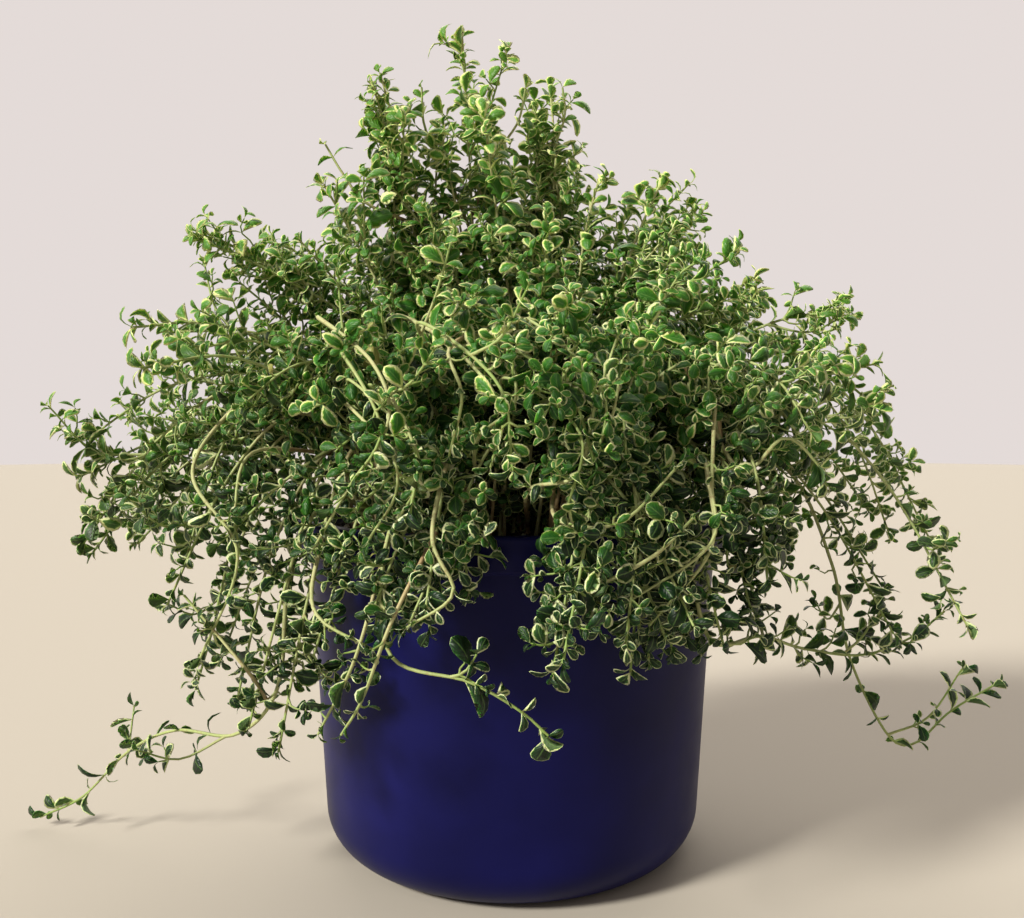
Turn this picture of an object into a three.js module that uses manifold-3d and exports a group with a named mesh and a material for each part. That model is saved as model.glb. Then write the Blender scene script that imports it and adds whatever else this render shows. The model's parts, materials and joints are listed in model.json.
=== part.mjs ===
// Variegated thyme growing in a round blue pot.
// Millimetres, +Z up. The origin is the centre of the pot's flat underside, and the front faces -Y.
// Every leafy stem is one closed body: a tapering stem, its side shoots and its opposite leaf pairs.

import * as THREE from 'three';
import { mergeVertices } from 'three/addons/utils/BufferGeometryUtils.js';
import Module from 'manifold-3d';

const wasm = await Module();
wasm.setup();

// ---------------------------------------------------------------- driving dimensions

const RIM_RADIUS = 80;            // outside of the proud band at the rim
const POT_HEIGHT = 123;
const BAND_HEIGHT = 11.4;
const BAND_STEP = 4.6;            // how far the band stands proud of the body
const FOOT_RADIUS = 68.8;         // where the wall would meet the table without its rounded edge
const FOOT_ROUNDING = 16;
const WALL = 3;
const SIDES_ROUND = 32;           // of the pot and of the soil in it

const FIT_GAP = 0.3;              // air between pieces that touch on the real object
const SOIL_HEIGHT = 117;
const HOLE_DEPTH = 12;
const HOLE_RADIUS = 3;            // to the corners of the hole's section
const HOLE_SLACK = 1;             // air under the foot of a stem
const HOLE_SIDES = 4;

const STEM_RADIUS = 1.25;         // woody base of a stem
const TIP_SHARE = 0.5;            // radius at a tip, as a share of the radius at the base
const STEM_SIDES = 4;
const STEM_STEP = 34;             // one straight facet of a stem at most
const ROOT_CIRCLE = 58;           // the outermost stems leave the soil this far from the middle
const FIRST_LEAF = 0.4;           // leaves start this far along a stem
const LEAF_SPACING = 67;          // between leaf pairs along a stem

const SHOOT_RADIUS = 0.75;
const SHOOT_SIDES = 3;
const SHOOT_STEPS = 2;
const SHOOT_LENGTH = 30;
const SHOOTS_AT = [0.55, 0.78];   // where side shoots leave a stem, as shares of its length
const FIRST_SHOOT_LEAF = 0.6;

const LEAF_LENGTH = 11.5;
const LEAF_WIDTH = 7;
const LEAF_THICKNESS = 0.9;
const LEAF_TILT = 0.6;            // radians from square to the stem, towards its tip

const STEM_CLEARANCE = 1;         // between stems of different nodes
const LEAF_CLEARANCE = 0.5;       // between a leaf and any other node
const LEAST_EDGE = 0.001;
const LEAST_HEIGHT = 0.0004;      // of any triangle, so that no face is a needle
const REDRAWS = 80;               // of one stem, at most

// Stems that rise or arch from root to tip. Each has the direction of its tip round the pot in
// degrees (0 right, -90 front, 90 back), its reach from the axis, its height, and how far it arches.
const ARCHING = {
  crown: [165, 20, 304, 0],
  crown_left: [-158, 53, 278, 4],
  left_peak: [-150, 73, 239, 10],
  top_right: [69, 21, 284, 0],
  top_back: [59, 52, 258, 8],
  right_peak: [-5, 56, 248, 8],
  right_back: [29, 92, 247, 14],
  right_shoulder: [-30, 86, 214, 16],
  right_high: [12, 103, 208, 18],
  right_sprig: [-6, 125, 197, 24],
  right_arch: [-24, 131, 162, 40],
  right_outer: [9, 174, 110, 75],
  right_hanging: [-14, 160, 89, 66],
  left_high: [-176, 113, 226, 20],
  left_back_high: [157, 108, 234, 20],
  left_sprig: [-161, 134, 189, 26],
  left_outer: [176, 162, 153, 40],
  left_low: [-168, 152, 116, 55],
  left_back_low: [163, 172, 120, 60],
  left_hanging: [-153, 126, 99, 52],
  left_hanging_low: [-171, 117, 60, 62],
  left_front_hanging: [-146, 105, 57, 60],
  front_left_hanging: [-106, 106, 106, 40],
  front_right_hanging: [-78, 109, 100, 42],
  right_front_hanging: [-44, 101, 99, 46],
  front_right_face: [-82, 98, 190, 22],
  front_left_face: [-101, 92, 192, 20],
  front_left_shoulder: [-120, 101, 182, 24],
  front_right_shoulder: [-66, 103, 182, 26],
  right_front_shoulder: [-48, 112, 162, 34],
  left_front_shoulder: [-138, 110, 163, 34],
  right_front_low: [-27, 117, 137, 46],
  front_crown_left: [-118, 57, 228, 6],
  front_crown_right: [-76, 52, 226, 6],
};

// Stems with a course of their own, point by point after they leave the soil.
const WANDERING = {
  left_trailing: [[-58, -52, 134], [-70, -64, 112], [-74, -66, 74], [-92, -50, 54], [-118, -33, 50],
    [-142, -14, 36], [-165, 0, 14], [-184, 5, 4]],
  right_trailing: [[66, -14, 142], [98, -18, 142], [118, -12, 106], [127, -6, 70], [142, -5, 40],
    [153, -4, 36], [168, 0, 47], [186, 0, 58]],
  right_floating: [[42, -58, 134], [52, -78, 118], [60, -80, 92], [80, -60, 89], [100, -38, 80],
    [126, -22, 74], [146, -16, 79], [160, -12, 88]],
  front_long: [[-32, -70, 134], [-37, -92, 118], [-34, -100, 92], [-12, -105, 86], [2, -105, 78],
    [10, -105, 71]],
  front_arch: [[-24, -62, 168], [-30, -92, 186], [-8, -116, 168], [-4, -120, 145]],
  front_left_arch: [[-44, -62, 160], [-50, -84, 178], [-36, -104, 156], [-44, -110, 140]],
};

// The side that the front doesn't show: tips spread evenly over a lower, closer dome.
const BACK_STEMS = 9;
const BACK_FROM = 32;             // degrees, the first direction of the back
const BACK_TO = 148;
const BACK_REACH = 112;
const BACK_TOP = 236;
const BACK_LOW = 112;

// ---------------------------------------------------------------- materials

const material = (color, roughness) => new THREE.MeshStandardMaterial({ color, roughness, metalness: 0 });
const BLUE_PLASTIC = material(0x1d1f73, 0.4);
const POTTING_SOIL = material(0x3b2a1c, 0.95);
const THYME_GREEN = material(0x4f7a2c, 0.6);

// ---------------------------------------------------------------- small helpers

const degrees = (angle) => (angle * Math.PI) / 180;
const lerp = THREE.MathUtils.lerp;
const clamp = THREE.MathUtils.clamp;

// Even draws from 0 to 1 that come out the same each time for the same seed.
function seededDraws(seed) {
  let state = (seed * 2654435761) % 4294967296;
  return () => {
    state = (state * 1664525 + 1013904223) % 4294967296;
    return state / 4294967296;
  };
}

// A closed three.js geometry as a solid that can be joined and cut.
function solidOf(geometry) {
  const bare = geometry.index ? geometry.toNonIndexed() : geometry.clone();
  bare.deleteAttribute('normal');
  bare.deleteAttribute('uv');
  const merged = mergeVertices(bare, 1e-4);
  return new wasm.Manifold(new wasm.Mesh({
    numProp: 3,
    vertProperties: new Float32Array(merged.attributes.position.array),
    triVerts: new Uint32Array(merged.index.array),
  }));
}

// The other way round: a solid as a named mesh.
function meshOf(solid, name, finish) {
  const { vertProperties, triVerts } = solid.getMesh();
  const geometry = new THREE.BufferGeometry();
  geometry.setAttribute('position', new THREE.BufferAttribute(vertProperties, 3));
  geometry.setIndex(new THREE.BufferAttribute(triVerts, 1));
  const mesh = new THREE.Mesh(geometry, finish);
  mesh.name = name;
  return mesh;
}

// ---------------------------------------------------------------- the pot and its soil

const BODY_RADIUS = RIM_RADIUS - BAND_STEP;
const BAND_BASE = POT_HEIGHT - BAND_HEIGHT;
const SIDE_LEAN = (BODY_RADIUS - FOOT_RADIUS) / BAND_BASE;

const outsideRadius = (height) => FOOT_RADIUS + SIDE_LEAN * height;
const insideRadius = (height) => outsideRadius(height) - WALL;

// Points of the rounded lower edge, from the flat underside up to the leaning wall.
function roundedEdge(radius, floor, rounding, steps) {
  const points = [];
  for (let step = 0; step <= steps; step += 1) {
    const turn = (step / steps) * (Math.PI / 2);
    const height = floor + rounding * (1 - Math.cos(turn));
    points.push(new THREE.Vector2(
      radius(height) - rounding * (1 - Math.sin(turn)),
      height,
    ));
  }
  return points;
}

function pot() {
  const lip = 1.2;                // softened edges of the rim band
  const outer = roundedEdge(outsideRadius, 0, FOOT_ROUNDING, 3);
  const inner = roundedEdge(insideRadius, WALL, FOOT_ROUNDING - WALL, 1).reverse();
  const profile = [
    new THREE.Vector2(0, 0),
    ...outer,
    new THREE.Vector2(outsideRadius(BAND_BASE), BAND_BASE),
    new THREE.Vector2(RIM_RADIUS - lip, BAND_BASE),
    new THREE.Vector2(RIM_RADIUS, BAND_BASE + lip),
    new THREE.Vector2(RIM_RADIUS, POT_HEIGHT - lip),
    new THREE.Vector2(RIM_RADIUS - lip, POT_HEIGHT),
    new THREE.Vector2(insideRadius(POT_HEIGHT) + lip, POT_HEIGHT),
    new THREE.Vector2(insideRadius(POT_HEIGHT), POT_HEIGHT - lip),
    ...inner,
    new THREE.Vector2(0, WALL),
  ];
  const turned = new THREE.LatheGeometry(profile, SIDES_ROUND);
  turned.rotateX(Math.PI / 2);    // the lathe turns about +Y, and the pot stands on +Z
  return solidOf(turned);
}

// A plain blind hole for one stem, a little wider than the stem and leaning with it.
function stemHole(stem) {
  const height = 2 * HOLE_DEPTH;
  const hole = new THREE.CylinderGeometry(HOLE_RADIUS, HOLE_RADIUS, height, HOLE_SIDES);
  hole.translate(0, height / 2 - HOLE_SLACK, 0);
  const [foot, next] = stem.course.centres;
  const run = next.clone().sub(foot).normalize();
  hole.applyQuaternion(new THREE.Quaternion().setFromUnitVectors(new THREE.Vector3(0, 1, 0), run));
  hole.translate(foot.x, foot.y, foot.z);
  return solidOf(hole);
}

function soil(stems) {
  const edge = (height) => insideRadius(height) - FIT_GAP;
  const floor = WALL + FIT_GAP;
  const bottom = roundedEdge(edge, floor, FOOT_ROUNDING - WALL, 1);
  const profile = [
    new THREE.Vector2(0, floor),
    ...bottom,
    new THREE.Vector2(edge(SOIL_HEIGHT), SOIL_HEIGHT),
    new THREE.Vector2(0, SOIL_HEIGHT),
  ];
  const turned = new THREE.LatheGeometry(profile, SIDES_ROUND);
  turned.rotateX(Math.PI / 2);
  return stems.reduce((left, stem) => left.subtract(stemHole(stem)), solidOf(turned));
}

// ---------------------------------------------------------------- where each stem runs

// A stem that leans far out is rooted near the wall, and an upright one near the middle.
function rootRadius(reach, height) {
  const rise = Math.atan2(height - SOIL_HEIGHT, reach) / (Math.PI / 2);
  return ROOT_CIRCLE * (1 - 0.86 * clamp(rise, 0, 1));
}

function rootPoints(direction, radius) {
  const x = radius * Math.cos(direction);
  const y = radius * Math.sin(direction);
  return [
    new THREE.Vector3(x, y, SOIL_HEIGHT - HOLE_DEPTH),
    new THREE.Vector3(x, y, SOIL_HEIGHT),
  ];
}

// Rises first and leans out later, arches over, and wanders a little to both sides.
function archingPoints([angle, reach, height, arch], draw) {
  const direction = degrees(angle);
  const root = rootRadius(reach, height);
  const [foot, collar] = rootPoints(direction, root);
  const phase = draw() * 2 * Math.PI;
  const sway = 2 + 4 * draw();
  const points = [foot, collar];
  for (const share of [0.3, 0.55, 0.8, 1]) {
    const out = lerp(root, reach, share ** 1.35);
    const side = sway * share * Math.sin(phase + 4 * share);
    points.push(new THREE.Vector3(
      out * Math.cos(direction) - side * Math.sin(direction),
      out * Math.sin(direction) + side * Math.cos(direction),
      lerp(collar.z, height, share) + 4 * arch * share * (1 - share),
    ));
  }
  return points;
}

function wanderingPoints(course) {
  const [x, y] = course[0];
  return [
    ...rootPoints(Math.atan2(y, x), ROOT_CIRCLE),
    ...course.map((point) => new THREE.Vector3(...point)),
  ];
}

// More stems for the back, in three tiers.
function backStems() {
  const list = {};
  for (let index = 0; index < BACK_STEMS; index += 1) {
    const angle = lerp(BACK_FROM, BACK_TO, (index + 0.5) / BACK_STEMS);
    const tier = [0.2, 0.75, 0.45][index % 3];
    const height = lerp(BACK_LOW, BACK_TOP, tier);
    const reach = BACK_REACH * (1 - 0.45 * tier ** 2);
    list[`back_${index + 1}`] = [angle, reach, height, lerp(44, 8, tier)];
  }
  return list;
}

// A smooth curve through the points, and the centres of the straight facets that follow it.
function courseOf(points, steps) {
  const curve = new THREE.CatmullRomCurve3(points, false, 'catmullrom', 0.5);
  const count = steps ?? Math.ceil(curve.getLength() / STEM_STEP);
  return { curve, steps: count, centres: curve.getSpacedPoints(count) };
}

function pointOn({ steps, centres }, share) {
  const place = share * steps;
  const index = Math.min(Math.floor(place), steps - 1);
  return centres[index].clone().lerp(centres[index + 1], place - index);
}

function directionOn({ steps, centres }, share) {
  const index = Math.min(Math.floor(share * steps), steps - 1);
  return centres[index + 1].clone().sub(centres[index]).normalize();
}

// ---------------------------------------------------------------- keeping pieces clear

// What is already placed, as small balls along stems, shoots and leaves.
const placed = [];

function ballsAlong(course, radius, count) {
  const shares = Array.from({ length: count + 1 }, (_, index) => index / count);
  return shares.map((share) => ({ centre: pointOn(course, share), radius }));
}

const isClear = (balls, others, clearance) => balls.every((ball) => others.every((other) => (
  ball.centre.distanceTo(other.centre) > ball.radius + other.radius + clearance)));

const placedByOthers = (owner) => placed.filter((ball) => ball.owner !== owner);

function isClearOfPot(balls, clearance) {
  return balls.every(({ centre, radius }) => {
    const out = Math.hypot(centre.x, centre.y);
    const low = centre.z - radius - clearance;
    if (out - radius > RIM_RADIUS + clearance) return low > 0;
    if (low > POT_HEIGHT) return true;
    return out + radius < insideRadius(POT_HEIGHT) - clearance && low > SOIL_HEIGHT;
  });
}

function place(balls, owner) {
  balls.forEach((ball) => placed.push({ ...ball, owner }));
}

// ---------------------------------------------------------------- stems, side shoots and leaves

// A tube along a curve, drawn in towards the tip. Its section is a regular polygon, turned.
function tube({ curve, steps, centres }, radius, sides, turn) {
  const corners = Array.from({ length: sides }, (_, side) => {
    const angle = turn + (side / sides) * 2 * Math.PI;
    return new THREE.Vector2(radius * Math.cos(angle), radius * Math.sin(angle));
  });
  const section = new THREE.Shape(corners);
  const geometry = new THREE.ExtrudeGeometry(section, { steps, extrudePath: curve });
  const position = geometry.attributes.position;
  const point = new THREE.Vector3();
  for (let index = 0; index < position.count; index += 1) {
    point.fromBufferAttribute(position, index);
    const gaps = centres.map((centre) => centre.distanceTo(point));
    const step = gaps.indexOf(Math.min(...gaps));
    const size = lerp(1, TIP_SHARE, step / steps);
    point.sub(centres[step]).multiplyScalar(size).add(centres[step]);
    position.setXYZ(index, point.x, point.y, point.z);
  }
  return solidOf(geometry);
}

// Two directions square to a run, the first turned round it by an angle.
function acrossAt(tangent, turn) {
  const up = Math.abs(tangent.z) > 0.95 ? new THREE.Vector3(1, 0, 0) : new THREE.Vector3(0, 0, 1);
  const side = new THREE.Vector3().crossVectors(tangent, up).normalize();
  return side.applyAxisAngle(tangent, turn);
}

// The frame of one leaf: x along the blade, z out of its upper face.
function leafFrame(origin, tangent, side) {
  const along = side.clone().multiplyScalar(Math.cos(LEAF_TILT))
    .addScaledVector(tangent, Math.sin(LEAF_TILT)).normalize();
  const across = new THREE.Vector3().crossVectors(tangent, side).normalize().negate();
  const face = new THREE.Vector3().crossVectors(along, across).normalize();
  return new THREE.Matrix4().makeBasis(along, across, face).setPosition(origin);
}

function leafBalls(frame, length, width) {
  return [0.3, 0.55, 0.8].map((share) => ({
    centre: new THREE.Vector3(length * share, 0, 0).applyMatrix4(frame),
    radius: 0.42 * width,
  }));
}

// A six-sided blade with a low crown: its narrow end starts on the stem's axis.
function leafSolid(frame, length, width) {
  const outline = [[0, 0], [0.3, 0.44], [0.72, 0.5], [1, 0], [0.72, -0.5], [0.3, -0.44]];
  const points = outline.flatMap(([along, across]) => [along * length, across * width, 0]);
  const crown = [0.5 * length, 0, LEAF_THICKNESS];
  const blade = new THREE.BufferGeometry();
  blade.setAttribute('position', new THREE.Float32BufferAttribute([...points, ...crown], 3));
  blade.setIndex([
    0, 5, 6, 5, 4, 6, 4, 3, 6, 3, 2, 6, 2, 1, 6, 1, 0, 6,
    0, 1, 5, 5, 1, 2, 5, 2, 4, 4, 2, 3,
  ]);
  blade.applyMatrix4(frame);
  return solidOf(blade);
}

// One opposite pair, each leaf only where it has room among the other stems and its own leaves.
function leafPair(others, earlier, origin, tangent, turn, size) {
  const length = LEAF_LENGTH * size;
  const width = LEAF_WIDTH * size;
  return [0, Math.PI].map((half) => {
    const frame = leafFrame(origin, tangent, acrossAt(tangent, turn + half));
    const balls = leafBalls(frame, length, width);
    const hasRoom = isClear(balls, others, LEAF_CLEARANCE) && isClear(balls, earlier, 0)
      && isClearOfPot(balls, LEAF_CLEARANCE);
    return hasRoom ? { balls, solid: leafSolid(frame, length, width) } : null;
  }).filter(Boolean);
}

// Pairs along a curve, each turned a quarter from the one before, up to one at the very tip.
function leavesAlong(course, from, others, leaves, draw) {
  const length = course.curve.getLength() * (1 - from);
  const gaps = Math.round(length / LEAF_SPACING);
  const start = draw() * Math.PI;
  for (let index = gaps; index >= 0; index -= 1) {
    const share = lerp(from, 0.985, gaps === 0 ? 1 : index / gaps);
    const origin = pointOn(course, share);
    const tangent = directionOn(course, share);
    const size = 0.85 + 0.25 * draw();
    const turn = start + (index * Math.PI) / 2;
    const earlier = leaves.flatMap(({ balls }) => balls);
    leaves.push(...leafPair(others, earlier, origin, tangent, turn, size));
  }
}

// Swings a stem round the pot, by the smallest step that keeps it clear of those before it.
function placeStem(name, points) {
  const axis = new THREE.Vector3(0, 0, 1);
  for (let attempt = 0; attempt < 24; attempt += 1) {
    const swing = degrees(2 * Math.ceil(attempt / 2) * (attempt % 2 ? 1 : -1));
    const turned = points.map((point) => point.clone().applyAxisAngle(axis, swing));
    const course = courseOf(turned);
    const balls = ballsAlong(course, STEM_RADIUS, 60);
    if (isClear(balls, placed, STEM_CLEARANCE)) {
      place(balls, name);
      return { name, course, shoots: [] };
    }
  }
  throw new Error(`no room for ${name}`);
}

// Side shoots leave the stem forward and bend up, on the first side of it that has room.
function placeShoots(stem, draw) {
  const others = placedByOthers(stem.name);
  for (const share of SHOOTS_AT) {
    const origin = pointOn(stem.course, share);
    const tangent = directionOn(stem.course, share);
    const start = draw() * 2 * Math.PI;
    const length = SHOOT_LENGTH * (0.75 + 0.5 * draw());
    for (let attempt = 0; attempt < 8; attempt += 1) {
      const side = acrossAt(tangent, start + (attempt * Math.PI) / 4);
      const middle = origin.clone().addScaledVector(side, 0.35 * length)
        .addScaledVector(tangent, 0.3 * length);
      const tip = origin.clone().addScaledVector(side, 0.7 * length)
        .addScaledVector(tangent, 0.5 * length);
      tip.z += 0.3 * length;
      const shoot = courseOf([origin, middle, tip], SHOOT_STEPS);
      const balls = ballsAlong(shoot, 3, 6).slice(1);
      if (isClear(balls, others, LEAF_CLEARANCE) && isClearOfPot(balls, LEAF_CLEARANCE)) {
        place(balls.map(({ centre }) => ({ centre, radius: SHOOT_RADIUS })), stem.name);
        stem.shoots.push(shoot);
        break;
      }
    }
  }
}

function leafyStem(stem, draw) {
  const others = placedByOthers(stem.name);
  const leaves = [];
  leavesAlong(stem.course, FIRST_LEAF, others, leaves, draw);
  stem.shoots.forEach((shoot) => leavesAlong(shoot, FIRST_SHOOT_LEAF, others, leaves, draw));
  const solid = wasm.Manifold.union([
    tube(stem.course, STEM_RADIUS, STEM_SIDES, draw()),
    ...stem.shoots.map((shoot) => tube(shoot, SHOOT_RADIUS, SHOOT_SIDES, draw())),
    ...leaves.map((leaf) => leaf.solid),
  ]);
  return { mesh: meshOf(solid, `stem_${stem.name}`, THYME_GREEN), leaves };
}

// The height of the thinnest triangle over its longest side.
function leastHeight({ index, attributes }) {
  const face = new THREE.Triangle();
  let least = Infinity;
  for (let first = 0; first < index.count; first += 3) {
    const corners = [0, 1, 2].map((step) => index.getX(first + step));
    face.setFromAttributeAndIndices(attributes.position, ...corners);
    const longest = Math.max(face.a.distanceTo(face.b), face.b.distanceTo(face.c),
      face.c.distanceTo(face.a));
    least = Math.min(least, (2 * face.getArea()) / longest);
  }
  return least;
}

// Whether a joined body has no needles, and all its corners stay corners of their own.
function isCleanlyJoined({ geometry }) {
  const corners = geometry.attributes.position.count;
  return leastHeight(geometry) > LEAST_HEIGHT
    && mergeVertices(geometry.clone(), LEAST_EDGE).attributes.position.count === corners;
}

// A stem whose pieces meet in a sliver is drawn again, with its leaves and facets turned.
function grownStem(stem, seed) {
  for (let attempt = 0; attempt < REDRAWS; attempt += 1) {
    const { mesh, leaves } = leafyStem(stem, seededDraws(seed + 1000 * attempt));
    if (isCleanlyJoined(mesh)) {
      leaves.forEach(({ balls }) => place(balls, stem.name));
      return mesh;
    }
  }
  throw new Error(`${stem.name} can't be joined`);
}

// ---------------------------------------------------------------- the whole plant

function allStems() {
  const courses = [];
  for (const [name, course] of Object.entries(WANDERING)) {
    courses.push([name, wanderingPoints(course)]);
  }
  Object.entries({ ...ARCHING, ...backStems() }).forEach(([name, arc], index) => {
    courses.push([name, archingPoints(arc, seededDraws(index + 1))]);
  });
  const stems = courses.map(([name, points]) => placeStem(name, points));
  stems.forEach((stem, index) => placeShoots(stem, seededDraws(index + 101)));
  return stems;
}

const thyme = new THREE.Group();
const stems = allStems();
thyme.add(meshOf(pot(), 'pot', BLUE_PLASTIC));
thyme.add(meshOf(soil(stems), 'soil', POTTING_SOIL));
stems.forEach((stem, index) => thyme.add(grownStem(stem, index + 201)));

export default thyme;
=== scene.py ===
# %% [markdown]
# # Variegated thyme in a round blue pot
#
# The imported CAD frame holds a plain pot, its soil and forty-nine leafy stems with a few blades each.
# This script keeps that form and grows the real plant on it: every stem follows the same path as its
# CAD solid, and gets its side twigs, its small opposite leaves with pale margins, its bark and down.
# It starts by loading the frame, which stays fixed.

# %% The fixed frame
import json
import math

import bpy
import numpy as np
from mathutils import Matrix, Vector

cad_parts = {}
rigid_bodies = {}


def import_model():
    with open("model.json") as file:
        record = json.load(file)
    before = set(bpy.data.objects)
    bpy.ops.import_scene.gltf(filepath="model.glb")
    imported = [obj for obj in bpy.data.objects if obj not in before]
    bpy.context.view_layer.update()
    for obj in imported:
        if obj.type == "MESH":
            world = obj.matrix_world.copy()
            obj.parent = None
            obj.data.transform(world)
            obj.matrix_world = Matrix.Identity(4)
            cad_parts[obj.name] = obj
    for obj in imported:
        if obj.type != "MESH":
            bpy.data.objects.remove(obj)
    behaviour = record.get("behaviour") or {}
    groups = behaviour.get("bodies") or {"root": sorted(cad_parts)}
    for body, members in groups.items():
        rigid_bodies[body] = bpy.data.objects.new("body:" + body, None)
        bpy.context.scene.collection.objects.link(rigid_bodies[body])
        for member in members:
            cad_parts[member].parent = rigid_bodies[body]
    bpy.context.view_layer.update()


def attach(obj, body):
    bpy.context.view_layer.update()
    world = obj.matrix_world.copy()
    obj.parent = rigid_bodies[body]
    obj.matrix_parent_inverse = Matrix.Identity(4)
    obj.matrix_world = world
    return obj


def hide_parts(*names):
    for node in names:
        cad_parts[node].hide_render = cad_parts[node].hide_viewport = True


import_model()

MM = 0.001                    # the CAD source counts in millimetres, and Blender in metres

# %% [markdown]
# ## Camera
#
# The photograph was taken from close by, a little above the rim, looking slightly down. The focal
# length comes from the pot: a rim of 160 mm spans 430 of the picture's 1024 columns from this place.
# A camera can be placed by hand or by such a measured fit. The fit was chosen.

# %% Camera
PICTURE_WIDTH = 1024          # columns
FOCAL_COLUMNS = 990           # focal length, in columns of the picture
SENSOR = 36                   # mm
CAMERA_PLACE = (0, -0.376, 0.157)
CAMERA_TILT = 2               # degrees down

scene = bpy.context.scene
camera = bpy.data.objects.new("camera", bpy.data.cameras.new("camera"))
scene.collection.objects.link(camera)
camera.location = CAMERA_PLACE
camera.rotation_euler = (math.radians(90 - CAMERA_TILT), 0, 0)
camera.data.sensor_width = SENSOR
camera.data.lens = SENSOR * FOCAL_COLUMNS / PICTURE_WIDTH
camera.data.clip_start = 0.01
scene.camera = camera
print("camera: lens", round(camera.data.lens, 2), "mm at", tuple(camera.location))

# %% [markdown]
# ## Helpers
#
# Colours are written as sRGB hex values, as a colour picker shows them, and Blender's sockets want
# linear light, so one function turns them. A second one sets the sockets of a node, and a third
# adds a node to any tree with its settings and links. A fourth gives an object its mesh.

# %% Colour, node and object helpers
NODE_FAMILIES = ("ShaderNode", "GeometryNode", "FunctionNode")


def linear(hex_colour):
    """An sRGB hex colour as linear RGBA."""
    srgb = [int(hex_colour[place:place + 2], 16) / 255 for place in (1, 3, 5)]
    return (*(c / 12.92 if c <= 0.04045 else ((c + 0.055) / 1.055) ** 2.4 for c in srgb), 1.0)


def connect(tree, target, inputs):
    """Sets a node's sockets, given in their order as a list, or by name or number as a dict.

    Each gets a plain value, a socket, a node (its first output), or a list of these if it takes several.
    """
    for key, wanted in inputs.items() if isinstance(inputs, dict) else enumerate(inputs):
        for value in wanted if isinstance(wanted, list) else [wanted]:
            if isinstance(value, bpy.types.Node):
                value = next(output for output in value.outputs if output.enabled)
            if isinstance(value, bpy.types.NodeSocket):
                tree.links.new(value, target.inputs[key])
            else:
                target.inputs[key].default_value = value


def node(tree, kind, inputs=(), **settings):
    """Adds a node with its settings and links. Kind "Math" means ShaderNodeMath, and so on."""
    family = next(prefix for prefix in NODE_FAMILIES if hasattr(bpy.types, prefix + kind))
    made = tree.nodes.new(family + kind)
    for name, value in settings.items():
        setattr(made, name, value)
    connect(tree, made, inputs)
    return made


def new_object(name, mesh):
    made = bpy.data.objects.new(name, mesh)
    scene.collection.objects.link(made)
    return made


def triangles(mesh):
    mesh.calc_loop_triangles()
    return len(mesh.loop_triangles)


print("cream margin in linear light:", [round(c, 3) for c in linear("#D6DEAA")])

# %% [markdown]
# ## Materials
#
# A material starts as a Principled BSDF with the values that are the same all over, set on its own
# sockets. Colour, roughness and bump that vary come from nodes. Noise reads Object coordinates, so
# its scale is one over the real size of a blotch. A colour ramp is used so often that the list of
# its stops is given in one line.

# %% Material helpers
def new_material(name, sockets):
    """A Principled material with these values. Returns it with its tree and its shader."""
    made = bpy.data.materials.new(name)
    made.use_nodes = True
    shader = made.node_tree.nodes["Principled BSDF"]
    connect(made.node_tree, shader, sockets)
    return made, made.node_tree, shader


def set_stops(ramp, stops):
    """Gives a colour ramp its stops: (place, hex colour), from left to right."""
    elements = ramp.color_ramp.elements
    while len(elements) < len(stops):
        elements.new(0.5)
    for element, (place, colour) in zip(elements, stops):
        element.position = place
        element.color = linear(colour)
    return ramp


print("material helpers ready")

# %% [markdown]
# ## Blue plastic
#
# The pot is injection-moulded polypropylene, dyed cobalt blue through and through. The mould was
# lightly textured, so the gloss is broad and soft instead of a sharp reflection, and a window shows
# as a wide pale violet band. Handling leaves faint cloudy patches. The real grain is about 0.15 mm;
# it is drawn at 0.5 mm so that it still shows in the picture.

# %% Blue plastic
blue_plastic, tree, shader = new_material("moulded_blue_polypropylene", {
    "Roughness": 0.42, "IOR": 1.5, "Specular IOR Level": 0.12})
place = node(tree, "TexCoord").outputs["Object"]
clouds, patches, pits = (
    node(tree, "TexNoise", {"Vector": place, "Scale": 1 / (size * MM), "Detail": detail})
    for size, detail in ((38, 3), (12, 4), (0.5, 1)))
dye = set_stops(node(tree, "ValToRGB", {"Fac": clouds}), [
    (0.30, "#0A0B3A"), (0.55, "#0D0E44"), (0.75, "#11124E")])
wear = node(tree, "MapRange", {"Value": patches, "To Min": 0.36, "To Max": 0.50})
grain = node(tree, "Bump", {"Height": pits, "Strength": 0.16, "Distance": 0.05 * MM})
connect(tree, shader, {"Base Color": dye, "Roughness": wear, "Normal": grain})
print("pot finish:", blue_plastic.name)

# %% [markdown]
# ## The pot
#
# One turned form: a flat foot with a wide rounded edge, a wall that leans out a little, and a proud
# band at the rim. Blender could spin it with the Screw modifier, or bevel a cylinder. Turning the
# profile in a few lines of code was chosen, because the numbers are those of the CAD source and every
# edge gets its true rounding. The wall goes down inside to the floor, so the pot is a closed shell.

# %% Pot profile
RIM_RADIUS = 80
POT_HEIGHT = 123
BAND_BASE = 111.6             # the lower edge of the rim band
BODY_RADIUS = 75.4            # of the wall where it meets the band
FOOT_RADIUS = 68.8
FOOT_ROUNDING = 16
WALL = 3
LEAN = (BODY_RADIUS - FOOT_RADIUS) / BAND_BASE
SIDES_ROUND = 160


def outside_radius(height):
    return FOOT_RADIUS + LEAN * height


def inside_radius(height):
    return outside_radius(height) - WALL


def arc(radius, height, size, start, end, steps=6):
    """Points of a rounded corner about (radius, height), from one direction to another, in degrees."""
    turns = np.radians(np.linspace(start, end, steps + 1))
    return [(radius + size * math.cos(turn), height + size * math.sin(turn)) for turn in turns]


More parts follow.
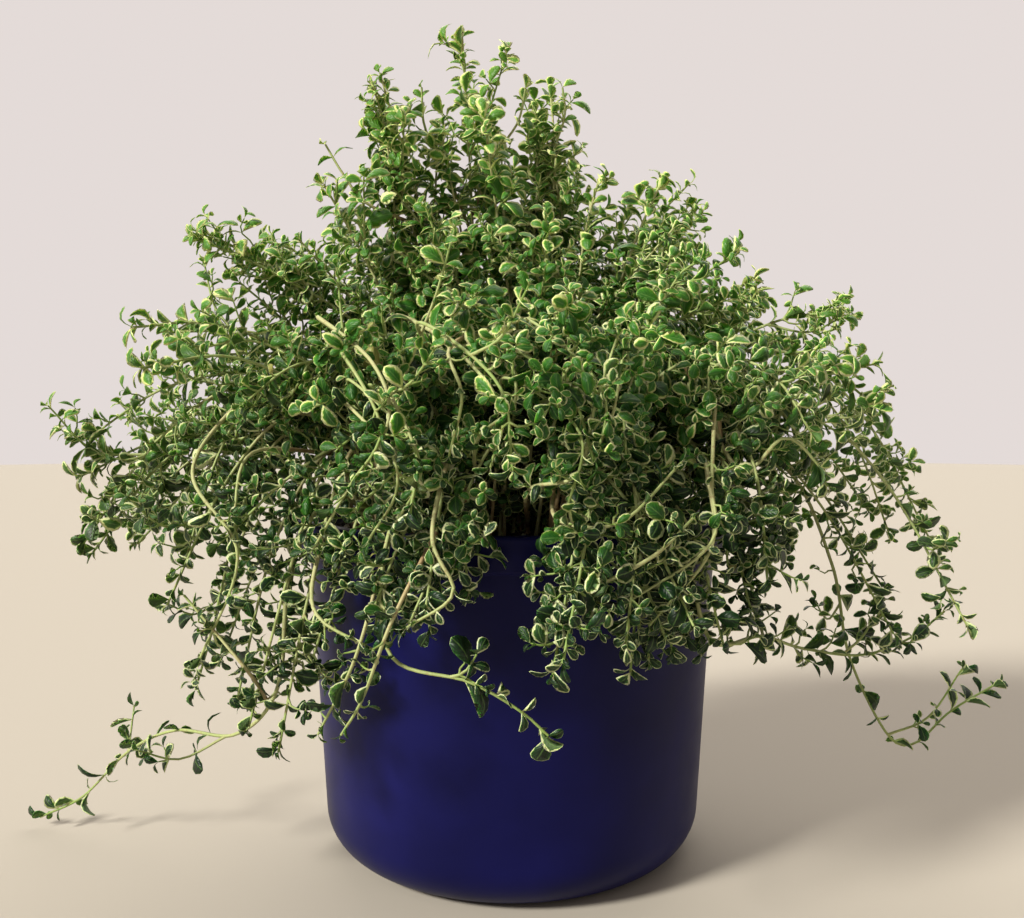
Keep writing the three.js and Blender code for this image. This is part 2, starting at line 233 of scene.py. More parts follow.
def rounded_edge(radius_at, floor, rounding, steps):
    """The rounded lower edge of the pot, from its floor up to the leaning wall."""
    points = []
    for turn in np.linspace(0, math.pi / 2, steps + 1):
        height = floor + rounding * (1 - math.cos(turn))
        points.append((radius_at(height) - rounding * (1 - math.sin(turn)), height))
    return points


LIP = 1.4                     # rounding of the band's edges
FILLET = 1.2                  # where the band meets the wall
pot_profile = [
    (0, 0.8), (55.0, 0.8), (56.5, 0),       # the slightly raised middle of the underside
    *rounded_edge(outside_radius, 0, FOOT_ROUNDING, 14)[1:],
    (outside_radius(50), 50),
    *arc(BODY_RADIUS + FILLET, BAND_BASE - FILLET, FILLET, 180, 90, 4),
    *arc(RIM_RADIUS - LIP, BAND_BASE + LIP, LIP, -90, 0),
    *arc(RIM_RADIUS - LIP, POT_HEIGHT - LIP, LIP, 0, 90),
    *arc(inside_radius(POT_HEIGHT) + LIP, POT_HEIGHT - LIP, LIP, 90, 180),
    (inside_radius(105), 105),
    *reversed(rounded_edge(inside_radius, WALL, FOOT_ROUNDING - WALL, 6)),
    (0, WALL),
]
print("pot profile:", len(pot_profile), "points")

# %% Turning a profile into a closed mesh
def turned_mesh(name, profile, sides):
    """Turns (radius, height) points about Z. The first and last lie on the axis and close it."""
    ring = np.linspace(0, 2 * math.pi, sides, endpoint=False)
    middle = np.array(profile[1:-1])
    corners = np.stack([
        np.outer(middle[:, 0], np.cos(ring)), np.outer(middle[:, 0], np.sin(ring)),
        np.repeat(middle[:, 1:], sides, axis=1)], axis=2).reshape(-1, 3)
    corners = np.vstack([corners, [0, 0, profile[0][1]], [0, 0, profile[-1][1]]]) * MM
    bottom, top = len(corners) - 2, len(corners) - 1
    faces = []
    for side in range(sides):
        after = (side + 1) % sides
        faces.append((bottom, after, side))
        for row in range(len(middle) - 1):
            low, high = row * sides, (row + 1) * sides
            faces.append((low + side, low + after, high + after, high + side))
        last = (len(middle) - 1) * sides
        faces.append((last + side, last + after, top))
    mesh = bpy.data.meshes.new(name)
    mesh.from_pydata(corners.tolist(), [], faces)
    mesh.shade_smooth()
    return mesh


def signed_volume(mesh):
    """Positive when the faces point outwards."""
    mesh.calc_loop_triangles()
    corners = np.array([v.co for v in mesh.vertices])
    rows = np.array([t.vertices for t in mesh.loop_triangles])
    a, b, c = (corners[rows[:, k]] for k in range(3))
    return float(np.einsum("ij,ij->i", a, np.cross(b, c)).sum() / 6)


planter = new_object("planter", turned_mesh("planter", pot_profile, SIDES_ROUND))
planter.data.materials.append(blue_plastic)
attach(planter, "root")
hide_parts("pot")
print("planter:", triangles(planter.data), "triangles,",
      round(signed_volume(planter.data) * 1e6), "ml of plastic")

# %% [markdown]
# ## Potting soil
#
# Peat-based potting mix, dark brown, with pale crumbs of perlite and bits of bark. It settles a few
# millimetres below the rim and is lumpy. The body is a turned form whose top is moved up and down by
# code. The crumbs repeat, so Geometry Nodes scatter them over the top.

# %% Soil finish
soil_finish, tree, shader = new_material("peat_potting_mix", {"Roughness": 0.95, "IOR": 1.5})
place = node(tree, "TexCoord").outputs["Object"]
crumbly = node(tree, "TexNoise", {
    "Vector": place, "Scale": 1 / (2.5 * MM), "Detail": 6, "Roughness": 0.65})
earth = set_stops(node(tree, "ValToRGB", {"Fac": crumbly}), [
    (0.30, "#150D08"), (0.50, "#2C1C12"), (0.66, "#4A3221"), (0.80, "#7A5C40")])
lumpy = node(tree, "TexNoise", {"Vector": place, "Scale": 1 / (0.9 * MM), "Detail": 5})
lumps = node(tree, "Bump", {"Height": lumpy, "Strength": 0.7, "Distance": 0.6 * MM})
connect(tree, shader, {"Base Color": earth, "Normal": lumps})

perlite_finish, tree, shader = new_material("perlite_crumbs", {"Roughness": 0.9, "IOR": 1.5})
place = node(tree, "TexCoord").outputs["Object"]
dusty = node(tree, "TexNoise", {"Vector": place, "Scale": 1 / (1.2 * MM), "Detail": 3})
chalky = set_stops(node(tree, "ValToRGB", {"Fac": dusty}), [(0.35, "#A79B88"), (0.6, "#DCD6C8")])
connect(tree, shader, {"Base Color": chalky})
print("soil finishes:", soil_finish.name, perlite_finish.name)

# %% Soil body
SOIL_HEIGHT = 117
FIT_GAP = 0.3                 # between soil and pot
SOIL_SIDES = 120
SOIL_ROWS = 34                # from the edge to the middle of its top
SOIL_DOME = 1.6               # the middle of the soil over its edge


def soil_edge(height):
    return inside_radius(height) - FIT_GAP


def lumpiness(x, y):
    """A few millimetres of gentle unevenness, as sums of waves in several directions."""
    waves = [(0.11, 0.4, 0.9), (0.23, 2.1, 0.6), (0.37, 4.0, 0.45), (0.61, 5.2, 0.3), (0.9, 1.3, 0.2)]
    return sum(size * np.sin(rate * (x * math.cos(turn * 2) + y * math.sin(turn * 2)) + turn * 3)
               * np.cos(rate * 0.8 * (y * math.cos(turn) - x * math.sin(turn)) + turn)
               for rate, turn, size in waves)


top_rows = np.linspace(soil_edge(SOIL_HEIGHT), 0, SOIL_ROWS)
soil_profile = [
    (0, WALL + FIT_GAP),
    *rounded_edge(soil_edge, WALL + FIT_GAP, FOOT_ROUNDING - WALL, 4),
    *[(radius, SOIL_HEIGHT) for radius in top_rows],
]
soil_mesh = turned_mesh("potting_soil", soil_profile, SOIL_SIDES)
for corner in soil_mesh.vertices:
    x, y, z = (c / MM for c in corner.co)
    if z > SOIL_HEIGHT - 0.01:
        dome = SOIL_DOME * (1 - (x * x + y * y) / soil_edge(SOIL_HEIGHT) ** 2)
        corner.co.z = (SOIL_HEIGHT + dome + 0.9 * lumpiness(x, y)) * MM
soil_body = new_object("potting_soil", soil_mesh)
soil_mesh.materials.append(soil_finish)
print("soil body:", triangles(soil_mesh), "triangles")

# %% [markdown]
# ## Running a Geometry Nodes tree
#
# Each tree here is built in code, so two small functions do what the modifier panel does: one makes
# a tree with named inputs, and one puts it on an object, sets the inputs by their identifiers, and
# turns the evaluated result into a plain mesh.

# %% Geometry Nodes helpers
def new_tree(name, sockets):
    """A geometry tree with named inputs. Returns the tree, the sockets they come from, and its output."""
    made = bpy.data.node_groups.new(name, "GeometryNodeTree")
    made.interface.new_socket("Geometry", in_out="INPUT", socket_type="NodeSocketGeometry")
    for socket, kind in sockets.items():
        made.interface.new_socket(socket, in_out="INPUT", socket_type="NodeSocket" + kind)
    made.interface.new_socket("Geometry", in_out="OUTPUT", socket_type="NodeSocketGeometry")
    return made, made.nodes.new("NodeGroupInput").outputs, made.nodes.new("NodeGroupOutput")


def grow(piece, tree, values):
    """Runs the tree on the piece with these input values, and keeps the result as its plain mesh."""
    modifier = piece.modifiers.new(tree.name, "NODES")
    modifier.node_group = tree
    for item in tree.interface.items_tree:
        if item.in_out == "INPUT" and item.name in values:
            modifier[item.identifier] = values[item.name]
    depsgraph = bpy.context.evaluated_depsgraph_get()
    result = bpy.data.meshes.new_from_object(
        piece.evaluated_get(depsgraph), preserve_all_data_layers=True, depsgraph=depsgraph)
    piece.modifiers.remove(modifier)
    bare, piece.data = piece.data, result
    bpy.data.meshes.remove(bare)
    result.name = piece.name
    while None in list(result.materials):       # an empty slot that no face uses
        result.materials.pop(index=list(result.materials).index(None))


LEVEL = (1, 1, 0)             # a vector times this lies flat
print("helpers for trees ready")

# %% The crumb tree: the soil's open top
crumb_tree, given, result = new_tree("soil_crumbs", {
    "Crumb Density": "Float", "Perlite Density": "Float", "Crumb Size": "Float",
    "Edge Radius": "Float", "Least Height": "Float", "Seed": "Int",
    "Soil": "Material", "Perlite": "Material"})
position = node(crumb_tree, "InputPosition")
height = node(crumb_tree, "SeparateXYZ", [position]).outputs["Z"]
is_high = node(crumb_tree, "Compare", [height, given["Least Height"]], operation="GREATER_THAN")
flat = node(crumb_tree, "VectorMath", [position, LEVEL], operation="MULTIPLY")
away = node(crumb_tree, "VectorMath", [flat], operation="LENGTH")
is_inside = node(crumb_tree, "Compare", [away, given["Edge Radius"]], operation="LESS_THAN")
on_top = node(crumb_tree, "BooleanMath", [is_high, is_inside], operation="AND")
print("crumb tree so far:", len(crumb_tree.nodes), "nodes")

# %% Scattering crumbs on the soil
FULL_TURN = (6.28, 6.28, 6.28)              # radians, about each axis
parts = [given["Geometry"]]
for step, (density, finish, least, most) in enumerate([
        ("Crumb Density", "Soil", 0.5, 1.9), ("Perlite Density", "Perlite", 0.6, 1.5)]):
    seed = node(crumb_tree, "Math", [given["Seed"], step], operation="ADD")
    points = node(crumb_tree, "DistributePointsOnFaces", {
        "Mesh": given["Geometry"], "Selection": on_top, "Density": given[density], "Seed": seed})
    lump = node(crumb_tree, "MeshIcoSphere", {"Radius": 1, "Subdivisions": 1})
    limits = (((0, 0, 0), FULL_TURN), ((least, least, 0.7 * least), (most, most, 0.8 * most)))
    turn, squeeze = (
        node(crumb_tree, "RandomValue", {0: low, 1: high, "Seed": seed}, data_type="FLOAT_VECTOR")
        for low, high in limits)
    size = node(crumb_tree, "VectorMath", {0: squeeze, "Scale": given["Crumb Size"]}, operation="SCALE")
    crumbs = node(crumb_tree, "InstanceOnPoints", {
        "Points": points, "Instance": lump, "Rotation": turn, "Scale": size})
    crumbs = node(crumb_tree, "RealizeInstances", [crumbs])
    parts.append(node(crumb_tree, "SetMaterial", {"Geometry": crumbs, "Material": given[finish]}))
connect(crumb_tree, result, [node(crumb_tree, "JoinGeometry", [parts])])

grow(soil_body, crumb_tree, {
    "Crumb Density": 90000.0, "Perlite Density": 5000.0, "Crumb Size": 1.0 * MM,
    "Edge Radius": 70.5 * MM, "Least Height": 114 * MM, "Seed": 7,
    "Soil": soil_finish, "Perlite": perlite_finish})
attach(soil_body, "root")
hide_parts("soil")
print("soil with crumbs:", triangles(soil_body.data), "triangles")

# %% [markdown]
# ## Where the stems run
#
# The CAD solids were grown by a small seeded program: each stem has the direction, reach and height
# of its tip, and leaves the soil near the wall if it leans out, or near the middle if it stands up.
# The finer stems here have to lie exactly along those solids. They could be traced from the packed
# meshes, but a leafy stem has no clean centre line, so the same program is repeated here with the
# same seeds. Lengths in this part of the file are in millimetres.

# %% Stem table
ROOT_CIRCLE = 58
HOLE_DEPTH = 12

# Direction of the tip round the pot in degrees, reach from the axis, height, and how far it arches.
ARCHING = {
    "crown": (165, 20, 304, 0), "crown_left": (-158, 53, 278, 4), "left_peak": (-150, 73, 239, 10),
    "top_right": (69, 21, 284, 0), "top_back": (59, 52, 258, 8), "right_peak": (-5, 56, 248, 8),
    "right_back": (29, 92, 247, 14), "right_shoulder": (-30, 86, 214, 16),
    "right_high": (12, 103, 208, 18), "right_sprig": (-6, 125, 197, 24),
    "right_arch": (-24, 131, 162, 40), "right_outer": (9, 174, 110, 75),
    "right_hanging": (-14, 160, 89, 66), "left_high": (-176, 113, 226, 20),
    "left_back_high": (157, 108, 234, 20), "left_sprig": (-161, 134, 189, 26),
    "left_outer": (176, 162, 153, 40), "left_low": (-168, 152, 116, 55),
    "left_back_low": (163, 172, 120, 60), "left_hanging": (-153, 126, 99, 52),
    "left_hanging_low": (-171, 117, 60, 62), "left_front_hanging": (-146, 105, 57, 60),
    "front_left_hanging": (-106, 106, 106, 40), "front_right_hanging": (-78, 109, 100, 42),
    "right_front_hanging": (-44, 101, 99, 46), "front_right_face": (-82, 98, 190, 22),
    "front_left_face": (-101, 92, 192, 20), "front_left_shoulder": (-120, 101, 182, 24),
    "front_right_shoulder": (-66, 103, 182, 26), "right_front_shoulder": (-48, 112, 162, 34),
    "left_front_shoulder": (-138, 110, 163, 34), "right_front_low": (-27, 117, 137, 46),
    "front_crown_left": (-118, 57, 228, 6), "front_crown_right": (-76, 52, 226, 6),
}
# Stems with a course of their own, point by point after they leave the soil.
WANDERING = {
    "left_trailing": [(-58, -52, 134), (-70, -64, 112), (-74, -66, 74), (-92, -50, 54),
                      (-118, -33, 50), (-142, -14, 36), (-165, 0, 14), (-184, 5, 4)],
    "right_trailing": [(66, -14, 142), (98, -18, 142), (118, -12, 106), (127, -6, 70),
                       (142, -5, 40), (153, -4, 36), (168, 0, 47), (186, 0, 58)],
    "right_floating": [(42, -58, 134), (52, -78, 118), (60, -80, 92), (80, -60, 89),
                       (100, -38, 80), (126, -22, 74), (146, -16, 79), (160, -12, 88)],
    "front_long": [(-32, -70, 134), (-37, -92, 118), (-34, -100, 92), (-12, -105, 86),
                   (2, -105, 78), (10, -105, 71)],
    "front_arch": [(-24, -62, 168), (-30, -92, 186), (-8, -116, 168), (-4, -120, 145)],
    "front_left_arch": [(-44, -62, 160), (-50, -84, 178), (-36, -104, 156), (-44, -110, 140)],
}
print("stems:", len(WANDERING), "wandering and", len(ARCHING), "arching")

# %% Stems at the back
BACK_STEMS, BACK_FROM, BACK_TO = 9, 32, 148     # how many, and between which directions
BACK_REACH, BACK_TOP, BACK_LOW = 112, 236, 112
BACK_TIERS = (0.2, 0.75, 0.45)     # share of the way from the low ones to the top ones, in turn


def lerp(low, high, share):
    return low + (high - low) * share


def back_stems():
    """Tips spread evenly over a lower, closer dome on the side that the picture doesn't show."""
    found = {}
    for index in range(BACK_STEMS):
        tier = BACK_TIERS[index % len(BACK_TIERS)]
        found[f"back_{index + 1}"] = (
            lerp(BACK_FROM, BACK_TO, (index + 0.5) / BACK_STEMS), BACK_REACH * (1 - 0.45 * tier ** 2),
            lerp(BACK_LOW, BACK_TOP, tier), lerp(44, 8, tier))
    return found


print("reach at the back, mm:", [round(stem[1]) for stem in back_stems().values()])

# %% Seeded draws and control points
def seeded_draws(seed):
    """Even draws from 0 to 1, the same as the CAD source's for the same seed."""
    spread, factor, step, limit = 2654435761, 1664525, 1013904223, 2 ** 32
    state = seed * spread % limit
    while True:
        state = (state * factor + step) % limit
        yield state / limit


def root_points(direction, radius):
    x, y = radius * math.cos(direction), radius * math.sin(direction)
    return [(x, y, SOIL_HEIGHT - HOLE_DEPTH), (x, y, SOIL_HEIGHT)]


def arching_points(stem, draw):
    """Rises first and leans out later, arches over, and wanders a little to both sides."""
    angle, reach, height, arch = stem
    direction = math.radians(angle)
    rise = math.atan2(height - SOIL_HEIGHT, reach) / (math.pi / 2)
    root = ROOT_CIRCLE * (1 - 0.86 * min(max(rise, 0), 1))
    points = root_points(direction, root)
    phase = next(draw) * 2 * math.pi
    sway = 2 + 4 * next(draw)
    for share in (0.3, 0.55, 0.8, 1):
        away = lerp(root, reach, share ** 1.35)
        side = sway * share * math.sin(phase + 4 * share)
        points.append((
            away * math.cos(direction) - side * math.sin(direction),
            away * math.sin(direction) + side * math.cos(direction),
            lerp(SOIL_HEIGHT, height, share) + 4 * arch * share * (1 - share)))
    return points


def control_points():
    """The name and the control points of every stem, in the order of the CAD source."""
    for name, course in WANDERING.items():
        yield name, root_points(math.atan2(course[0][1], course[0][0]), ROOT_CIRCLE) + course
    for index, (name, stem) in enumerate({**ARCHING, **back_stems()}.items()):
        yield name, arching_points(stem, seeded_draws(index + 1))


print("first draws of seed 1:", [round(next(d), 6) for d in [seeded_draws(1)] for _ in range(2)])

# %% Smooth curves
CURVE_DIVISIONS = 200         # straight pieces in which a curve's length is measured


def curve_points(points, places):
    """Points of a smooth curve through the control points, at places from 0 to 1 along it."""
    points = np.array(points, float)
    padded = np.vstack([2 * points[0] - points[1], points, 2 * points[-1] - points[-2]])
    scaled = np.asarray(places, float) * (len(points) - 1)
    index = np.minimum(scaled.astype(int), len(points) - 2)
    w = (scaled - index)[:, None]
    before, start, end, after = (padded[index + step] for step in range(4))
    run_in, run_out = (end - before) / 2, (after - start) / 2
    return (start + run_in * w + (3 * (end - start) - 2 * run_in - run_out) * w ** 2
            + (2 * (start - end) + run_in + run_out) * w ** 3)


def even_points(points, shares):
    """Points at even shares of the curve's length, and that length."""
    places = np.linspace(0, 1, CURVE_DIVISIONS + 1)
    corners = curve_points(points, places)
    run = np.concatenate([[0], np.cumsum(np.linalg.norm(np.diff(corners, axis=0), axis=1))])
    return curve_points(points, np.interp(np.asarray(shares) * run[-1], run, places)), run[-1]


print("length of a quarter turn of 10 mm radius:",
      round(even_points([(10, 0, 0), (7.07, 7.07, 0), (0, 10, 0)], [0, 1])[1], 2))

# %% [markdown]
# The CAD source swings a stem round the pot, two degrees at a time, until it is clear of the stems
# before it, and gives it two side shoots where there is room. The tests are repeated as they are, so
# that every choice falls the same way.

# %% Swinging stems clear of each other
STEM_RADIUS = 1.25
STEM_STEP = 34
STEM_CLEARANCE = 1
LEAF_CLEARANCE = 0.5
SHOOT_RADIUS = 0.75
SHOOT_LENGTH = 30
SHOOT_ROOM = 3                # half the width that a shoot needs with its leaves
SHOOT_TRIES = 8               # directions in which a shoot is tried
SHOOT_BALLS = 6               # points of a shoot at which its clearance is tested
SHOOT_SEED = 101              # of the first stem's shoots
SHOOTS_AT = (0.55, 0.78)      # shares of the stem
SWING_STEP = 2                # degrees
TRIES = 24                    # places in which a stem is tried
BALLS = 60                    # points of a stem at which its clearance is tested, beside its root


def turned_round(points, degrees):
    turn = math.radians(degrees)
    x, y, z = np.array(points, float).T
    return np.stack([x * math.cos(turn) - y * math.sin(turn), x * math.sin(turn) + y * math.cos(turn),
                     z], axis=1)


def facet_centres(points):
    """The ends of the CAD stem's straight facets."""
    length = even_points(points, [0])[1]
    return even_points(points, np.linspace(0, 1, math.ceil(length / STEM_STEP) + 1))[0]


def on_facets(centres, shares):
    steps = len(centres) - 1
    place = np.asarray(shares, float) * steps
    index = np.minimum(place.astype(int), steps - 1)
    return centres[index] + (centres[index + 1] - centres[index]) * (place - index)[..., None]


def is_clear(balls, radius, others, other_radii, clearance):
    if not len(others):
        return True
    gaps = np.linalg.norm(balls[:, None] - others[None], axis=2)
    return bool((gaps > radius + other_radii[None] + clearance).all())


def is_clear_of_pot(balls, radius, clearance):
    for x, y, z in balls:
        out, low = math.hypot(x, y), z - radius - clearance
        if out - radius > RIM_RADIUS + clearance:
            fits = low > 0
        else:
            fits = low > POT_HEIGHT or (
                out + radius < inside_radius(POT_HEIGHT) - clearance and low > SOIL_HEIGHT)
        if not fits:
            return False
    return True


def placed_stems():
    """Every stem's name, control points and facet centres after its swing, and its balls."""
    stems, placed = [], np.zeros((0, 3))
    for name, points in control_points():
        for attempt in range(TRIES):
            swing = SWING_STEP * math.ceil(attempt / 2) * (1 if attempt % 2 else -1)
            swung = turned_round(points, swing)
            centres = facet_centres(swung)
            balls = on_facets(centres, np.arange(BALLS + 1) / BALLS)
            radii = np.full(len(placed), STEM_RADIUS)
            if is_clear(balls, STEM_RADIUS, placed, radii, STEM_CLEARANCE):
                placed = np.vstack([placed, balls])
                stems.append({"name": name, "points": swung, "centres": centres, "balls": balls})
                break
    return stems


stems = placed_stems()
print("placed", len(stems), "stems; crown's tip at", stems[6]["centres"][-1].round(1))

# %% Side shoots of the CAD solids
def unit(vector):
    return vector / np.linalg.norm(vector)


def about(vector, axis, turn):
    """The vector turned about a unit axis."""
    return (vector * math.cos(turn) + np.cross(axis, vector) * math.sin(turn)
            + axis * np.dot(axis, vector) * (1 - math.cos(turn)))


def across_at(tangent, turn):
    up = np.array([1.0, 0, 0]) if abs(tangent[2]) > 0.95 else np.array([0, 0, 1.0])
    return about(unit(np.cross(tangent, up)), tangent, turn)


def add_shoots(stems):
    balls = [[stem["balls"]] for stem in stems]
    radii = [[np.full(len(stem["balls"]), STEM_RADIUS)] for stem in stems]
    for index, stem in enumerate(stems):
        others = np.vstack([b for i, group in enumerate(balls) if i != index for b in group])
        other_radii = np.concatenate([r for i, group in enumerate(radii) if i != index for r in group])
        draw = seeded_draws(SHOOT_SEED + index)
        stem["shoots"] = []
        centres = stem["centres"]
        for share in SHOOTS_AT:
            origin = on_facets(centres, [share])[0]
            facet = min(int(share * (len(centres) - 1)), len(centres) - 2)
            tangent = unit(centres[facet + 1] - centres[facet])
            start = next(draw) * 2 * math.pi
            length = SHOOT_LENGTH * (0.75 + 0.5 * next(draw))
            for attempt in range(SHOOT_TRIES):
                side = across_at(tangent, start + attempt * 2 * math.pi / SHOOT_TRIES)
                middle = origin + 0.35 * length * side + 0.3 * length * tangent
                tip = origin + 0.7 * length * side + 0.5 * length * tangent
                tip[2] += 0.3 * length
                points = even_points([origin, middle, tip], np.linspace(0, 1, 3))[0]
                shoot = on_facets(points, np.arange(1, SHOOT_BALLS + 1) / SHOOT_BALLS)
                if (is_clear(shoot, SHOOT_ROOM, others, other_radii, LEAF_CLEARANCE)
                        and is_clear_of_pot(shoot, SHOOT_ROOM, LEAF_CLEARANCE)):
                    balls[index].append(shoot)
                    radii[index].append(np.full(len(shoot), SHOOT_RADIUS))
                    stem["shoots"].append((share, middle - origin, tip - origin))
                    break
    return stems


add_shoots(stems)
print("shoots:", sum(len(stem["shoots"]) for stem in stems))

# %% [markdown]
# ## What grows on a stem
#
# A thyme stem carries a pair of leaves at every joint, each pair square to the last, and from the
# corners between leaf and stem come short side twigs that carry smaller, closer pairs and bend up to
# the light. A real stem also forks near its foot, so each CAD stem stands for a small group: thinner
# sisters follow it at a little distance, and a few long bare arcs hang over them. Hanging and
# trailing stems are barer. The tangle could be left wholly to chance, but the eye knows a plant by
# its few bare curves, so those in front follow the picture. All of it is first laid out as strands:
# lists of points with the thickness, age, leaf size and leaf spacing there. A strand is cheap and
# easy to check, and the Geometry Nodes tree turns it into wood and leaves.

# %% Habits of the stems
# first: share of the stem before its first leaves. gap: between leaf pairs, mm. leaf: length, mm.
# twigs: share of the joints that carry a side twig. twiggy: the part of the stem that has them.
# reach: length of the longest twigs, mm. age: at the root and the tip. shoots: size of its two shoots.
# sisters: thinner stems beside it, with the range of their swing in degrees, their reach and rise
# beside its own, and their tip's drop in mm. arcs: long bare stems that arch over the others, and
# the range of their sag in mm.
BUSHY = {
    "first": 0.20, "gap": 7.5, "leaf": 8.2, "twigs": 0.7, "twiggy": (0.2, 1), "reach": 25,
    "age": (0.05, 0.85), "shoots": 1.0, "sisters": 3, "swing": (-18, 18), "near": (0.62, 1.02),
    "rise": (0.76, 1.02), "drop": (0, 0), "arcs": 0, "sag": (0, 12)}
TOP = {**BUSHY, "leaf": 9.0, "age": (0, 0.5), "sisters": 5, "swing": (-32, 32), "near": (0.5, 1.3),
       "rise": (0.72, 1.0)}
SIDE = {**BUSHY, "first": 0.3, "twiggy": (0.3, 1), "sisters": 4, "twigs": 0.75, "swing": (-14, 14),
        "near": (0.70, 0.98), "arcs": 1}
LOOSE = {**BUSHY, "first": 0.30, "gap": 8.5, "leaf": 7.6, "twigs": 0.6, "twiggy": (0.3, 1), "reach": 17,
         "sisters": 2, "swing": (-9, 9), "drop": (-8, 14)}
BARE = {**BUSHY, "first": 0.40, "gap": 12, "leaf": 8.6, "twigs": 0.7, "twiggy": (0.1, 0.5), "reach": 15,
        "age": (0.3, 0.9), "sisters": 0}
CURTAIN = {**BUSHY, "first": 0.4, "gap": 6.5, "leaf": 7.2, "twiggy": (0.35, 1), "reach": 19, "sisters": 6,
           "near": (0.9, 1.08), "rise": (0.8, 1.0), "drop": (0, 16), "arcs": 2}
ARCH = {**BARE, "first": 0.72, "gap": 7, "leaf": 7.4, "twigs": 0.45, "twiggy": (0.72, 1), "sisters": 3,
        "swing": (-14, 14), "near": (0.95, 1.12), "rise": (0.7, 1.1)}
FACE = {**BUSHY, "first": 0.24, "twiggy": (0.06, 1), "reach": 20, "near": (0.55, 0.9), "arcs": 1,
        "sag": (5, 40)}
HABITS = {
    **{name: FACE for name in (
        "front_left_face", "front_right_face", "front_crown_left", "front_crown_right",
        "front_left_shoulder", "front_right_shoulder", "left_front_shoulder", "right_front_shoulder")},
    "crown": {**TOP, "sisters": 7, "swing": (-90, 90), "near": (0.6, 2.6), "rise": (0.7, 0.84)},
    "crown_left": {**TOP, "swing": (-8, 8), "near": (0.9, 1.1), "rise": (0.84, 1.04)},
    **{name: TOP for name in ("left_peak", "top_right", "top_back", "right_peak")},
    **{name: SIDE for name in (
        "left_low", "left_back_low", "right_high", "right_arch", "right_shoulder")},
    **{name: {**SIDE, "sisters": 2, "twigs": 0.7, "near": (0.62, 0.86)} for name in (
        "left_sprig", "right_sprig")},
    "left_high": {**SIDE, "sisters": 3, "swing": (-4, 4), "near": (0.84, 1.0), "rise": (0.84, 1.1)},
    "left_outer": {**SIDE, "shoots": 0.5, "reach": 15, "near": (0.68, 0.9), "rise": (0.7, 0.95)},
    "right_front_low": {**SIDE, "sisters": 7, "near": (0.6, 0.98), "drop": (0, 24)},
    **{name: LOOSE for name in ("right_outer", "right_hanging")},
    **{name: {**LOOSE, "sisters": 1} for name in ("left_hanging_low", "left_hanging")},
    "left_front_hanging": {**CURTAIN, "sisters": 3, "swing": (-9, 3), "drop": (-20, 6), "arcs": 1},
    "front_left_hanging": {**CURTAIN, "sisters": 5, "swing": (-12, 3), "arcs": 1},
    "front_right_hanging": {**CURTAIN, "swing": (-5, 18)},
    "right_front_hanging": {**CURTAIN, "twigs": 0.5, "reach": 15, "swing": (-26, -10)},
    "left_trailing": {**BARE, "gap": 15},
    "right_trailing": BARE,
    "right_floating": {**BARE, "gap": 8, "twiggy": (0.1, 1)},
    "front_long": {**BARE, "first": 0.66, "gap": 13, "leaf": 10, "twiggy": (0.12, 0.56), "shoots": 0.3},
    "front_arch": ARCH,
    "front_left_arch": {**ARCH, "sisters": 4},
}
print("habits of their own:", len(HABITS), "of", len(stems), "stems")
